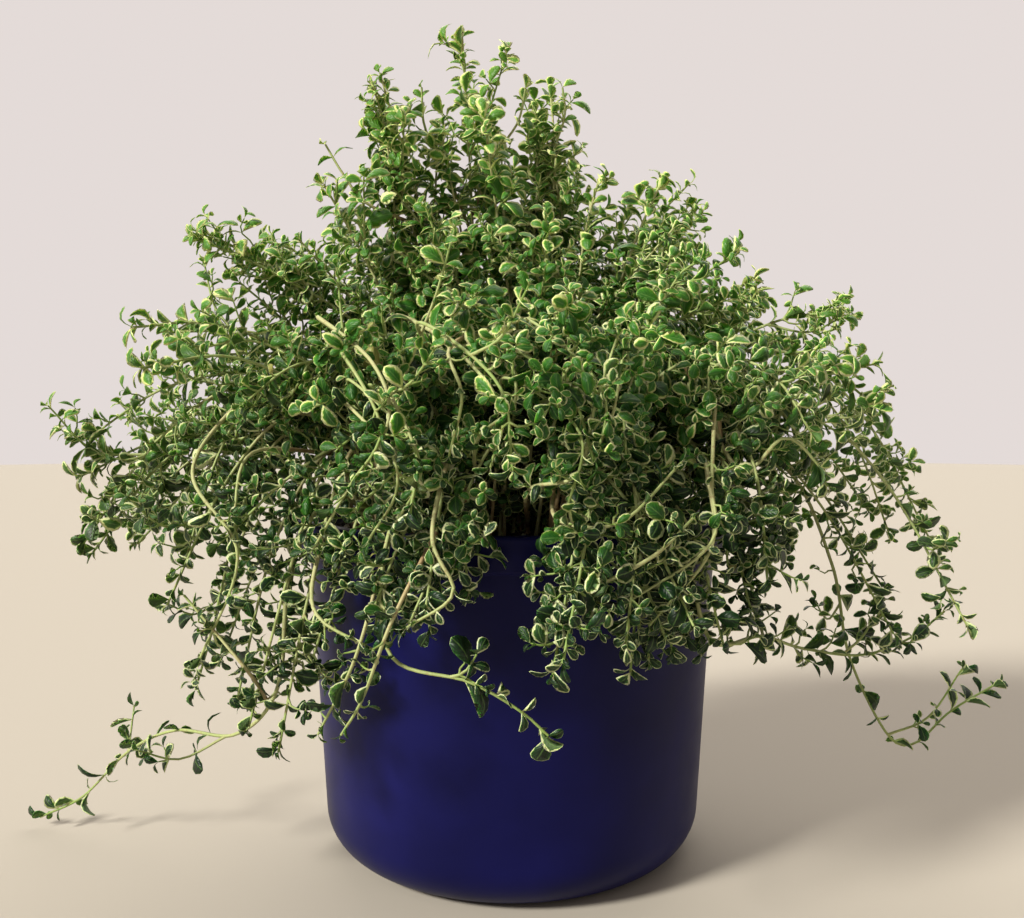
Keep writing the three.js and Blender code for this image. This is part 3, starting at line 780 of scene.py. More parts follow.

# %% Branches laid one by one
# They stand out in front of the bush or at its crown. For each: the share of its stem at which it
# forks off, the share of its own length before its first leaves, and its points in mm.
BRANCHES = {
    "crown": [(0.62, 0.15, [(-24, -4, 250), (-32, -8, 266), (-33, -10, 280)]),
              (0.66, 0.15, [(-8, 2, 256), (2, 0, 270), (5, -2, 282)])],
    "crown_left": [(0.72, 0.15, [(-52, -20, 236), (-60, -22, 246), (-66, -22, 256)]),
                   (0.76, 0.1, [(-44, -22, 256), (-36, -26, 268)])],
    "top_right": [(0.74, 0.1, [(16, 8, 262), (20, 4, 274), (19, 2, 284)])],
    "front_crown_left": [(0.4, 0.8, [(-38, -56, 190), (-20, -82, 182), (-3, -102, 162), (-6, -98, 145)])],
    "front_left_shoulder": [
        (0.55, 0.55, [(-60, -66, 190), (-40, -94, 175), (-34, -103, 158), (-46, -103, 138),
                      (-56, -98, 122)]),
        (0.35, 0.35, [(-35, -92, 167), (-25, -105, 145), (-32, -102, 130)])],
    "left_front_shoulder": [
        (0.35, 0.3, [(-52, -76, 165), (-34, -102, 150), (-32, -104, 138), (-40, -100, 125)])],
    "front_left_face": [
        (0.8, 0.3, [(-18, -94, 178), (-14, -98, 165), (-18, -93, 148)]),
        (0.12, 0.45, [(-11, -86, 150), (1, -96, 164), (-4, -88, 188)])],
    "front_right_face": [(0.15, 0.3, [(5, -88, 138), (18, -102, 143), (23, -101, 162), (31, -88, 184)])],
    "front_right_shoulder": [(0.15, 0.35, [(12, -90, 145), (26, -101, 155), (32, -92, 178)])],
    "front_right_hanging": [
        (0.3, 0.35, [(13, -96, 130), (30, -103, 130), (49, -90, 146)]),
        (0.75, 0.5, [(22, -102, 113), (39, -101, 120), (52, -92, 130)])],
    "right_front_hanging": [
        (0.75, 0.35, [(64, -66, 163), (59, -84, 140), (57, -91, 122), (29, -100, 105)]),
        (0.6, 0.5, [(58, -82, 143), (58, -89, 121), (39, -97, 100)])],
    "right_front_shoulder": [(0.7, 0.8, [(71, -66, 143), (84, -72, 153), (97, -70, 142)])],
    "front_left_hanging": [
        (0.55, 0.5, [(-22, -104, 126), (-16, -107, 111), (-29, -105, 101)]),
        (0.8, 0.15, [(-33, -106, 103), (-42, -100, 80), (-49, -95, 68)])],
    "front_long": [(0.42, 0.15, [(-44, -98, 92), (-57, -88, 66)])],
    "left_low": [(0.5, 0.4, [(-102, -60, 143), (-84, -74, 117), (-98, -70, 82)])],
    "left_hanging": [(0.3, 0.4, [(-84, -54, 148), (-87, -66, 130), (-85, -68, 118)])],
    "left_trailing": [(0.44, 0.2, [(-80, -75, 80), (-102, -70, 104)])],
    "left_front_hanging": [(0.55, 0.4, [(-58, -88, 103), (-39, -98, 93)])],
}
THICK = 0.95                  # radius of a stem at its root, mm; the CAD's is thicker for strength
FINE_STEP = 3.2               # mm between the points of a strand
STRAND_SEED = 301             # of the first stem's sisters and twigs
print("branches laid by hand:", sum(len(laid) for laid in BRANCHES.values()))

# %% Strands
# Strands that grow on a stem: their radius in mm at root and tip, the share before their first
# leaves, and their gap and leaf as shares of the stem's.
SIDE_TWIG = {"thick": 0.42, "thin": 0.24, "leafy_from": 0.22, "gap": 0.55, "leaf": 0.82}
SHOOT = {"thick": 0.55, "thin": 0.3, "leafy_from": 0.2, "gap": 0.65, "leaf": 0.9}
SHOOT_TWIG = {"thick": 0.38, "thin": 0.22, "leafy_from": 0.3, "gap": 0.5, "leaf": 0.75}


def strand(points, thick, thin, age, leafy_from, gap, leaf):
    """A path with what the tree needs at each point. age runs from 0, old wood, to 1, a green tip."""
    points = np.array(points, float)
    share = np.linspace(0, 1, len(points))
    return {
        "points": points, "radius": lerp(thick, thin, share ** 0.8),
        "youth": lerp(*age, share),
        "leafy": (share >= leafy_from).astype(float),
        "gap": np.full(len(points), gap), "leaf": np.full(len(points), leaf)}


def finer_strand(points, kind, age, habit):
    """A strand of this kind, for a stem with this habit."""
    return strand(points, kind["thick"], kind["thin"], age, kind["leafy_from"],
                  habit["gap"] * kind["gap"], habit["leaf"] * kind["leaf"])


print("radius along a short shoot, mm:",
      finer_strand(np.eye(3), SHOOT, (0.3, 0.95), BUSHY)["radius"].round(2))

# %% Side twigs
TWIG_ROOM, LOWEST_TWIG = 2, 3                # mm, to the pot and to the floor


def side_twig(base, side, tangent, length, draw):
    """A twig that leaves sideways and forward, bends up and outward to the light, and wavers."""
    away = unit(0.78 * side + 0.62 * tangent)
    out = unit(np.array([base[0], base[1], 0]) + 1e-6)
    stray = np.array([next(draw), next(draw), next(draw)]) - 0.5
    end = unit(away + 0.65 * np.array([0, 0, 1]) + 0.35 * out + 1.1 * stray)
    share = np.linspace(0, 1, max(4, math.ceil(length / FINE_STEP) + 1))[:, None]
    waver = 0.12 * np.sin(math.pi * share * lerp(1.0, 2.2, next(draw))) * np.cross(away, 2 * stray)
    return base + length * (share * (1 - 0.5 * share) * away + 0.5 * share ** 2 * end + waver)


def has_room(points):
    return is_clear_of_pot(points[2:], TWIG_ROOM, 0) and points[:, 2].min() > LOWEST_TWIG


def twigs_along(points, part, habit, draw, shrink=1.0):
    """Side twigs at the joints of a part of a path, in pairs square to each other."""
    run = np.concatenate([[0], np.cumsum(np.linalg.norm(np.diff(points, axis=0), axis=1))])
    found, place, joint = [], part[0] * run[-1], int(4 * next(draw))
    while place < min(part[1] * run[-1], run[-1] - 5):
        base = np.array([np.interp(place, run, points[:, axis]) for axis in range(3)])
        step = min(np.searchsorted(run, place), len(points) - 1)
        tangent = unit(points[step] - points[step - 1])
        share = place / run[-1]
        for half in range(2):
            if next(draw) > habit["twigs"]:
                continue
            turn = joint * math.pi / 2 + half * math.pi + 0.5 * (next(draw) - 0.5)
            length = habit["reach"] * shrink * lerp(1, 0.38, share ** 1.5) * lerp(0.45, 1.15, next(draw))
            for attempt in range(4):
                twig = side_twig(base, across_at(tangent, turn + attempt * math.pi / 2), tangent,
                                 length, draw)
                if has_room(twig):
                    found.append((share, twig))
                    break
        place += habit["gap"] * lerp(0.85, 1.3, next(draw))
        joint += 1
    return found


straight = np.linspace((0, 0, 200), (0, 0, 300), 30)
print("twigs on a straight stem of 100 mm:", len(twigs_along(straight, (0, 1), BUSHY, seeded_draws(1))))

# %% Sister stems
SISTER_ROOM, LOWEST_SISTER = 1.2, 6          # mm, to the pot and to the floor
ROOTS_WITHIN = 64             # mm from the pot's axis


def between(limits, draw):
    return lerp(*limits, next(draw))


def sister_points(points, habit, draw):
    """The control points of a thinner stem beside this one, clear of the pot."""
    for _ in range(TRIES):
        swing, near, rise, drop = (between(habit[key], draw) for key in ("swing", "near", "rise", "drop"))
        inwards, phase = lerp(0.55, 1.08, next(draw)), 2 * math.pi * next(draw)
        root, offset = points[1] * [inwards, inwards, 1], points - points[1]
        share = np.linspace(0, 1, len(points))[:, None]
        wander = 5 * share * np.hstack([np.sin(phase + 5 * share), np.cos(phase + 4 * share),
                                        np.sin(2 * phase + 6 * share)])
        bow = 10 * np.sin(math.pi * share) * [math.cos(phase), math.sin(phase), 0]
        beside = root + offset * [near, near, rise] + wander + bow - drop * share ** 2 * [0, 0, 1]
        beside = turned_round(beside, swing)
        beside[0] = beside[1] - [0, 0, HOLE_DEPTH]
        path = even_points(beside, np.linspace(0, 1, BALLS))[0]
        grown = path[np.argmax(path[:, 2] > SOIL_HEIGHT + 3):]
        if (np.hypot(*beside[1, :2]) < ROOTS_WITHIN and is_clear_of_pot(grown, SISTER_ROOM, 0)
                and grown[:, 2].min() > LOWEST_SISTER):
            return beside
    return None


print("the tip of a sister of the first stem:",
      sister_points(stems[0]["points"], BUSHY, seeded_draws(1))[-1].round(1))

# %% All that grows on each stem
def grown_strands(points, thick, habit, draw):
    """One stem and its side twigs."""
    length = even_points(points, [0])[1]
    path = even_points(points, np.linspace(0, 1, math.ceil(length / FINE_STEP) + 1))[0]
    found = [strand(path, thick, 0.4, habit["age"], habit["first"], habit["gap"], habit["leaf"])]
    for share, twig in twigs_along(path, habit["twiggy"], habit, draw):
        found.append(finer_strand(twig, SIDE_TWIG, (lerp(0.35, 0.8, share), 1), habit))
    return found


def strands_of(stem, seed):
    """The stem itself, its two CAD shoots, sisters, branches and arcs, and the side twigs of all."""
    habit = HABITS.get(stem["name"], BUSHY)
    draw = seeded_draws(seed)
    found = grown_strands(stem["points"], THICK, habit, draw)
    for share, middle, tip in stem["shoots"]:
        base = even_points(stem["points"], [share])[0][0]
        middle, tip = middle * habit["shoots"], tip * habit["shoots"]
        steps = math.ceil(np.linalg.norm(tip) / FINE_STEP) + 1
        shoot = even_points([base, base + middle, base + tip], np.linspace(0, 1, steps))[0]
        found.append(finer_strand(shoot, SHOOT, (lerp(0.3, 0.7, share), 0.95), habit))
        for _, twig in twigs_along(shoot, (0.25, 1), habit, draw, 0.5):
            found.append(finer_strand(twig, SHOOT_TWIG, (0.8, 1), habit))
    for _ in range(habit["sisters"]):
        beside = sister_points(stem["points"], habit, draw)
        if beside is not None:
            found += grown_strands(beside, THICK * lerp(0.65, 0.95, next(draw)), habit, draw)
    for share, first, points in BRANCHES.get(stem["name"], []):
        base = even_points(stem["points"], [share])[0][0]
        own = {**habit, "first": first, "twiggy": (max(first, 0.5), 1), "twigs": 0.35, "reach": 10,
               "gap": 11, "leaf": 7, "age": (0.12, 0.75)}
        found += grown_strands([base, *points], THICK * lerp(0.68, 1.3, first), own, draw)
    bare = {**habit, "near": (1.02, 1.15), "rise": (0.75, 0.95), "first": 0.72, "twiggy": (0.72, 1),
            "reach": 13, "age": (0.25, 0.85), "drop": habit["sag"]}
    for _ in range(habit["arcs"]):
        beside = sister_points(stem["points"], bare, draw)
        if beside is not None:
            found += grown_strands(beside, 0.85 * THICK, bare, draw)
    return found


all_strands = {
    stem["name"]: strands_of(stem, STRAND_SEED + index) for index, stem in enumerate(stems)}
print("strands:", sum(len(found) for found in all_strands.values()))

# %% Strands as a mesh of edges
def skeleton(name, strands):
    """One mesh of edges, with a value of each kind at every point."""
    counts = [len(one["points"]) for one in strands]
    starts = np.concatenate([[0], np.cumsum(counts)[:-1]])
    edges = np.vstack([
        np.stack([np.arange(start, start + count - 1), np.arange(start + 1, start + count)], axis=1)
        for start, count in zip(starts, counts)])
    mesh = bpy.data.meshes.new(name)
    mesh.from_pydata((np.vstack([one["points"] for one in strands]) * MM).tolist(), edges.tolist(), [])
    for key, scale in {"radius": MM, "youth": 1, "leafy": 1, "gap": MM, "leaf": MM}.items():
        values = np.concatenate([one[key] for one in strands]) * scale
        mesh.attributes.new(key, "FLOAT", "POINT").data.foreach_set("value", values.astype(np.float32))
    return mesh


print("points of the crown's skeleton:", len(skeleton("crown_trial", all_strands["crown"]).vertices))
bpy.data.meshes.remove(bpy.data.meshes["crown_trial"])

# %% [markdown]
# ## Leaf shapes
#
# A thyme leaf is 5 to 10 mm long, narrow at its foot and broadest beyond the middle, a little cupped
# or rolled under at its edges, with a groove along the midrib. Four blades that differ in width and
# bend are enough, because each copy is also turned and sized at random. Each is a closed lens of
# two dozen faces, one unit long, since some thirty thousand of them grow. Its attributes tell the
# material how far a point is from the margin (rim) and whether it is on the underside (under), and
# its UV map runs along and across.

# %% Four leaf blades
# A blade is one unit long. Rows across it: their place, and half their width.
LEAF_ROWS = ((0.09, 0.05), (0.27, 0.18), (0.49, 0.29), (0.73, 0.31), (0.92, 0.19))
COLUMNS = (-1, 0, 1)          # across the blade: margin, midrib, margin
BLADE_THICKNESS = 0.03


def leaf_blade(name, width, arch, cup, twist):
    """A blade along +X with its upper face to +Z. width scales its rows of (place, half width)."""
    def lift(along, across):
        bend = arch * math.sin(math.pi * along * 0.9) - 0.5 * abs(arch) * along ** 2
        return bend + cup * across ** 2 * math.sin(math.pi * min(along * 1.1, 1)) + twist * across * along

    broadest = max(half for _, half in LEAF_ROWS)
    corners, rims, unders, maps = [(0, 0, 0)], [0.0], [0.0], [(0, 0.5)]
    for along, half in LEAF_ROWS:
        for across in COLUMNS:
            corners.append((along, across * half * width, lift(along, across)))
            rims.append((1 - abs(across)) * half / broadest)
            unders.append(0.0)
            maps.append((along, 0.5 + across / 2))
    tip = len(corners)
    for along, half, drop in [(1, 0, 0), *((*row, BLADE_THICKNESS) for row in LEAF_ROWS)]:
        corners.append((along, 0, lift(along, 0) - drop))
        rims.append(half / broadest)
        unders.append(1.0 if drop else 0.0)
        maps.append((along, 0.5))

    last = len(LEAF_ROWS) - 1
    left, middle, right, below = (
        [first + row * step for row in range(last + 1)]
        for first, step in ((1, 3), (2, 3), (3, 3), (tip + 1, 1)))
    faces = []
    for near, far in ((left, middle), (middle, right), (right, below), (below, left)):
        faces += [(0, near[0], far[0]), (tip, far[last], near[last])]
        faces += [(near[row], near[row + 1], far[row + 1], far[row]) for row in range(last)]
    mesh = bpy.data.meshes.new(name)
    mesh.from_pydata(corners, [], faces)
    mesh.attributes.new("rim", "FLOAT", "POINT").data.foreach_set("value", rims)
    mesh.attributes.new("under", "FLOAT", "POINT").data.foreach_set("value", unders)
    uv = mesh.uv_layers.new(name="UVMap")
    for loop in mesh.loops:
        uv.data[loop.index].uv = maps[loop.vertex_index]
    mesh.shade_smooth()
    return mesh


blades = bpy.data.collections.new("leaf_blades")
scene.collection.children.link(blades)
blade_shapes = {              # width, arch, cup and twist
    "blade_broad": (1.06, 0.16, 0.05, 0.0), "blade_rolled": (0.9, 0.28, -0.08, 0.03),
    "blade_cupped": (0.96, 0.04, 0.12, -0.03), "blade_narrow": (0.72, 0.36, 0.03, 0.05)}
for name, shape in blade_shapes.items():
    blade = bpy.data.objects.new(name, leaf_blade(name, *shape))
    blades.objects.link(blade)
    print(name, len(blade.data.polygons), "faces, volume", round(signed_volume(blade.data), 5))

# %% [markdown]
# ## Leaf finish
#
# Living leaf under a thin wax: a dielectric of IOR 1.4 and middling gloss, and a little light passes
# through the thin tissue. The variegation starts at the margin: cream where there is no green in the
# tissue, then a pale grey-green zone, then the dark green middle, with an irregular border. Its width
# differs from leaf to leaf, and some leaves are nearly plain. Young leaves are fresher and have yellow
# margins. Light and shade are also painted in. By height alone, low leaves get the darker old colours
# and high leaves the brighter young ones. High leaves at the bush's outer edge get a painted pale wash
# and wider margins. The underside is paler and dull, the midrib is a light line, the side veins are a
# soft relief, and a rare leaf withers to olive.

# %% Leaf finish: how far from the margin
leaf_finish, tree, shader = new_material("variegated_thyme_leaf", {
    "Roughness": 0.46, "IOR": 1.4, "Subsurface Weight": 0.22, "Subsurface Scale": 0.8 * MM,
    "Subsurface Radius": (0.6, 1.0, 0.25)})
rim, under, youth, hue = (
    node(tree, "Attribute", attribute_name=name).outputs["Fac"]
    for name in ("rim", "under", "youth", "hue"))
place = node(tree, "TexCoord").outputs["Object"]
height = node(tree, "SeparateXYZ", [place]).outputs["Z"]
# The heart of the bush is 120 mm above the floor, and depth counts for less than width.
about_heart = node(tree, "Mapping", {"Vector": place, "Scale": (1, 0.6, 1), "Location": (0, 0, -0.12)})
from_heart = node(tree, "VectorMath", [about_heart], operation="LENGTH")
# Painted light: the further a high leaf is from the heart of the bush, the paler its painted wash and the
# wider its margin.
outer = node(tree, "MapRange", {"Value": from_heart, "From Min": 0.085, "From Max": 0.16, "To Max": 0.14})
high = node(tree, "MapRange", {"Value": height, "From Min": 0.08, "From Max": 0.2})
pale = node(tree, "Math", [outer, high], operation="MULTIPLY")
blotches = node(tree, "TexNoise", {
    "Vector": place, "Scale": 1 / (1.6 * MM), "Detail": 3, "Roughness": 0.6})
ragged = node(tree, "Math", [blotches, 0.6, rim], operation="MULTIPLY_ADD")
wander = node(tree, "MapRange", {"Value": hue, "To Min": -0.57, "To Max": -0.07})
border = node(tree, "Math", [ragged, wander], operation="ADD")
border = node(tree, "Math", [border, pale], operation="SUBTRACT")
print("leaf finish so far:", len(tree.nodes), "nodes")

# %% Leaf finish: colours
MIX_SHARE, MIX_BASE, MIX_WASH = 0, 6, 7     # the sockets of a Mix node that mixes two colours
old_leaf = set_stops(node(tree, "ValToRGB", {"Fac": border}), [
    (0.07, "#D6DEAA"), (0.12, "#9FB26C"), (0.165, "#28501E"), (0.28, "#0F2D11"), (0.85, "#09220D")])
young_leaf = set_stops(node(tree, "ValToRGB", {"Fac": border}), [
    (0.08, "#E2E8A0"), (0.15, "#AFC868"), (0.22, "#62932E"), (0.42, "#377321"), (0.85, "#28601A")])
tint = node(tree, "Math", [node(tree, "Math", [hue, 7.3], operation="MULTIPLY")], operation="FRACT")
# Painted light and shade: by height alone, low leaves are pushed towards the dark old colours and high
# leaves towards the bright young ones.
painted_height_light = node(tree, "MapRange", {
    "Value": height, "From Min": 0.08, "From Max": 0.3, "To Min": -0.9, "To Max": 1.2})
youth_and_painted_light = node(tree, "Math", [youth, painted_height_light], operation="ADD")
youth_and_painted_light = node(tree, "Math", [tint, 0.5, youth_and_painted_light], operation="MULTIPLY_ADD")
young_and_painted_light_share = node(tree, "MapRange", {"Value": youth_and_painted_light, "From Min": 0.55, "From Max": 1.25})
cloudy = node(tree, "TexNoise", {"Vector": place, "Scale": 1 / (45 * MM)})
yellowed = node(tree, "MapRange", {"Value": cloudy, "From Min": 0.35, "From Max": 0.7, "To Max": 0.36})
uv = node(tree, "SeparateXYZ", [node(tree, "UVMap", uv_map="UVMap")])
off_middle = node(tree, "Math", [uv.outputs["Y"], 0.5], operation="SUBTRACT")
off_middle = node(tree, "Math", [off_middle], operation="ABSOLUTE")
midrib = node(tree, "MapRange", {"Value": off_middle, "From Min": 0.05, "From Max": 0.015, "To Max": 0.4})
dull = node(tree, "Math", [under, 0.5], operation="MULTIPLY")
withered = node(tree, "MapRange", {"Value": hue, "From Min": 0.994, "From Max": 0.999})
leaf_colour = node(tree, "Mix", {
    MIX_SHARE: young_and_painted_light_share, MIX_BASE: old_leaf, MIX_WASH: young_leaf}, data_type="RGBA")
# The first wash is painted light: it screens a pale green over the high outer leaves.
for share, wash, blend in (
        (pale, "#A8C84E", "SCREEN"), (yellowed, "#8FA63C", "SOFT_LIGHT"), (midrib, "#6E9448", "MIX"),
        (dull, "#6C8650", "MIX"), (withered, "#8F8F4C", "MIX")):
    leaf_colour = node(
        tree, "Mix", {MIX_SHARE: share, MIX_BASE: leaf_colour, MIX_WASH: linear(wash)},
        data_type="RGBA", blend_type=blend)
print("leaf finish so far:", len(tree.nodes), "nodes")

# %% Leaf finish: veins and wax
slant = node(tree, "Math", [off_middle, -0.9, uv.outputs["X"]], operation="MULTIPLY_ADD")
vein_phase = node(tree, "Math", [slant, 38], operation="MULTIPLY")
veins = node(tree, "Math", [vein_phase], operation="SINE")
relief = node(tree, "Math", [midrib, -2, veins], operation="MULTIPLY_ADD")
vein_bump = node(tree, "Bump", {"Height": relief, "Strength": 0.35, "Distance": 0.12 * MM})
waxy = node(tree, "MapRange", {"Value": under, "To Min": 0.44, "To Max": 0.7})
connect(tree, shader, {"Base Color": leaf_colour, "Normal": vein_bump, "Roughness": waxy})
print("leaf finish:", len(tree.nodes), "nodes")

# %% [markdown]
# ## Bark finish
#
# The oldest wood is thin grey-brown bark with reddish flecks. Towards the tips the stem turns to
# pale cream-green and then to fresh green. The change follows the strand's own age. Fine noise breaks
# it up along a stem, and a slow change over 35 mm makes one stem browner than its neighbour.

# %% Bark finish
bark_finish, tree, shader = new_material("thyme_bark", {"Roughness": 0.62, "IOR": 1.45})
place = node(tree, "TexCoord").outputs["Object"]
mottled, drifting, flecked, fibrous = (
    node(tree, "TexNoise", {"Vector": place, "Scale": 1 / (size * MM), "Detail": 3})
    for size in (4, 35, 1.1, 0.6))
aged = node(tree, "Attribute", attribute_name="youth").outputs["Fac"]
for noise, share in ((mottled, 0.3), (drifting, 0.6)):
    patches = node(tree, "Math", [noise, 0.5], operation="SUBTRACT")
    aged = node(tree, "Math", [patches, share, aged], operation="MULTIPLY_ADD")
bark = set_stops(node(tree, "ValToRGB", {"Fac": aged}), [
    (0.05, "#5A4230"), (0.2, "#A28A62"), (0.34, "#B9B684"), (0.66, "#A3B070"), (0.95, "#7E9A48")])
flecks = node(tree, "MapRange", {"Value": flecked, "From Min": 0.56, "From Max": 0.7, "To Max": 0.5})
bark = node(tree, "Mix", {
    MIX_SHARE: flecks, MIX_BASE: bark, MIX_WASH: linear("#8A5B3C")}, data_type="RGBA")
fibres = node(tree, "Bump", {"Height": fibrous, "Strength": 0.4, "Distance": 0.15 * MM})
connect(tree, shader, {"Base Color": bark, "Normal": fibres})
print("bark finish:", len(tree.nodes), "nodes")

# %% [markdown]
# ## The tree that grows a sprig
#
# Wood: every strand becomes a curve, and a small circle is swept along it, as thick as the strand
# says. Leaves: the same curve is cut into joints, closer together towards the tip. Every joint gets
# two leaves on opposite sides, a quarter turn from the pair before, leaning forward, and each is
# rolled part of the way to face the light. Leaves that would lie in the pot or in the floor are left
# out. Down: fine hairs stand on the wood.

# %% The sprig tree: inputs, draws and wood
sprig, given, result = new_tree("thyme_sprig", {
    "Sides": "Int", "Lean": "Float", "Lean at Tip": "Float", "Facing Light": "Float",
    "Crowding": "Float", "Pot Radius": "Float", "Pot Height": "Float", "Hair Density": "Float",
    "Hair Length": "Float", "Seed": "Int", "Blades": "Collection", "Leaf": "Material",
    "Bark": "Material"})
# Values that the tree reads by name at each point, and takes off the finished mesh.
NOTES = {
    "radius": "FLOAT", "leafy": "FLOAT", "gap": "FLOAT", "leaf": "FLOAT", "place": "FLOAT",
    "strand": "INT", "tangent": "FLOAT_VECTOR", "turn": "FLOAT", "facing": "QUATERNION", "size": "FLOAT"}
noted = {name: node(sprig, "InputNamedAttribute", {"Name": name}, data_type=kind)
         for name, kind in NOTES.items()}
# What chance decides for each leaf or hair, between two limits. Angles are in radians.
CHANCES = {"turn": (-0.35, 0.35), "lean": (-0.5, 0.4), "roll": (-0.6, 0.6), "size": (0, 1), "hue": (0, 1),
           "hair": (0.5, 1.2)}
drawn = {}
for step, (what, (low, high)) in enumerate(CHANCES.items()):
    seed = node(sprig, "Math", [given["Seed"], step + 1], operation="ADD")
    drawn[what] = node(sprig, "RandomValue", {2: low, 3: high, "Seed": seed})

lines = node(sprig, "MeshToCurve", {"Mesh": given["Geometry"]})
section = node(sprig, "CurvePrimitiveCircle", {"Resolution": given["Sides"], "Radius": 1})
swept = node(sprig, "CurveToMesh", {
    "Curve": lines, "Profile Curve": section, "Scale": noted["radius"], "Fill Caps": True})
wood = node(sprig, "SetShadeSmooth", {"Geometry": swept})
wood = node(sprig, "SetMaterial", {"Geometry": wood, "Material": given["Bark"]})
print("sprig tree so far:", len(sprig.nodes), "nodes")

# %% The sprig tree: joints along each strand
joint_count = node(sprig, "Math", [node(sprig, "SplineLength"), noted["gap"]], operation="DIVIDE")
joint_count = node(sprig, "Math", [joint_count], operation="CEIL")
joint_count = node(sprig, "Math", [joint_count, 1], operation="ADD")
joints = node(sprig, "ResampleCurve", {"Curve": lines, "Count": joint_count}, mode="COUNT")
for name, value in (("place", "SplineParameter"), ("strand", "CurveOfPoint")):
    joints = node(sprig, "StoreNamedAttribute", {
        "Geometry": joints, "Name": name, "Value": node(sprig, value)}, data_type=NOTES[name])
points = node(sprig, "CurveToPoints", {"Curve": joints}, mode="EVALUATED")
left_over = node(sprig, "Math", [1, noted["place"]], operation="SUBTRACT")
left_over = node(sprig, "Math", [left_over, given["Crowding"]], operation="POWER")
crowded = node(sprig, "Math", [1, left_over], operation="SUBTRACT")
on_strand = node(sprig, "SampleCurve", {
    "Curves": lines, "Factor": crowded, "Curve Index": noted["strand"]})
points = node(sprig, "StoreNamedAttribute", {
    "Geometry": points, "Name": "tangent", "Value": on_strand.outputs["Tangent"]},
    data_type=NOTES["tangent"])
points = node(sprig, "SetPosition", {"Geometry": points, "Position": on_strand.outputs["Position"]})
is_bare = node(sprig, "Compare", [noted["leafy"], 0.5], operation="LESS_THAN")
points = node(sprig, "DeleteGeometry", {"Geometry": points, "Selection": is_bare})
print("sprig tree so far:", len(sprig.nodes), "nodes")

# %% The sprig tree: a pair of leaves at each joint
quarter = node(sprig, "Math", [node(sprig, "InputIndex"), math.pi / 2], operation="MULTIPLY")
turn = node(sprig, "Math", [quarter, drawn["turn"]], operation="ADD")
points = node(sprig, "StoreNamedAttribute", {"Geometry": points, "Name": "turn", "Value": turn})
pairs = node(sprig, "DuplicateElements", {"Geometry": points, "Amount": 2}, domain="POINT")
half_turn = node(sprig, "Math", [pairs.outputs["Duplicate Index"], math.pi], operation="MULTIPLY")
turn = node(sprig, "Math", [noted["turn"], half_turn], operation="ADD")
leaves = node(sprig, "StoreNamedAttribute", {"Geometry": pairs, "Name": "turn", "Value": turn})
print("sprig tree so far:", len(sprig.nodes), "nodes")

# %% The sprig tree: how each leaf is turned
LIGHT = (-0.3, -0.7, 0.7)     # added to the way out of the bush, a vector of length 1
MOST_ROLL = 1.4               # radians


def spun(rotation, axis, angle):
    """The rotation, turned about its own axis."""
    step = node(sprig, "AxisAngleToRotation", {"Axis": axis, "Angle": angle})
    return node(sprig, "RotateRotation", {"Rotation": rotation, "Rotate By": step}, rotation_space="LOCAL")


along_stem = node(sprig, "AlignRotationToVector", {"Vector": noted["tangent"]}, axis="Z")
round_stem = spun(along_stem, (0, 0, 1), noted["turn"])
late = node(sprig, "Math", [noted["place"], 3], operation="POWER")
lean = node(sprig, "MapRange", {"Value": late, "To Min": given["Lean"], "To Max": given["Lean at Tip"]})
lean = node(sprig, "Math", [lean, drawn["lean"]], operation="ADD")
leaning = spun(round_stem, (0, 1, 0), node(sprig, "Math", [lean, -1], operation="MULTIPLY"))
outward = node(sprig, "VectorMath", [node(sprig, "InputPosition"), LEVEL], operation="MULTIPLY")
outward = node(sprig, "VectorMath", [outward], operation="NORMALIZE")
towards = node(sprig, "VectorMath", [outward, LIGHT], operation="ADD")
seen = node(sprig, "RotateVector", {
    "Vector": towards, "Rotation": node(sprig, "InvertRotation", [leaning])})
seen = node(sprig, "SeparateXYZ", [seen])
roll = node(sprig, "Math", [seen.outputs["Y"], -1], operation="MULTIPLY")
for operation, value in (
        ("ARCTAN2", seen.outputs["Z"]), ("MAXIMUM", -MOST_ROLL), ("MINIMUM", MOST_ROLL),
        ("MULTIPLY", given["Facing Light"]), ("ADD", drawn["roll"])):
    roll = node(sprig, "Math", [roll, value], operation=operation)
facing = spun(leaning, (1, 0, 0), roll)
print("sprig tree so far:", len(sprig.nodes), "nodes")

# %% The sprig tree: the size of each leaf
near_tip = node(sprig, "Math", [noted["place"], 4], operation="POWER")
small_tip = node(sprig, "MapRange", {"Value": near_tip, "To Min": 1, "To Max": 0.7})
varied = node(sprig, "Math", [drawn["size"], 2], operation="POWER")
varied = node(sprig, "Math", [varied, 0.75, 0.65], operation="MULTIPLY_ADD")
size = node(sprig, "Math", [noted["leaf"], small_tip], operation="MULTIPLY")
size = node(sprig, "Math", [size, varied], operation="MULTIPLY")
for name, value in (("facing", facing), ("size", size), ("hue", drawn["hue"])):
    leaves = node(sprig, "StoreNamedAttribute", {
        "Geometry": leaves, "Name": name, "Value": value}, data_type=NOTES.get(name, "FLOAT"))
print("sprig tree so far:", len(sprig.nodes), "nodes")

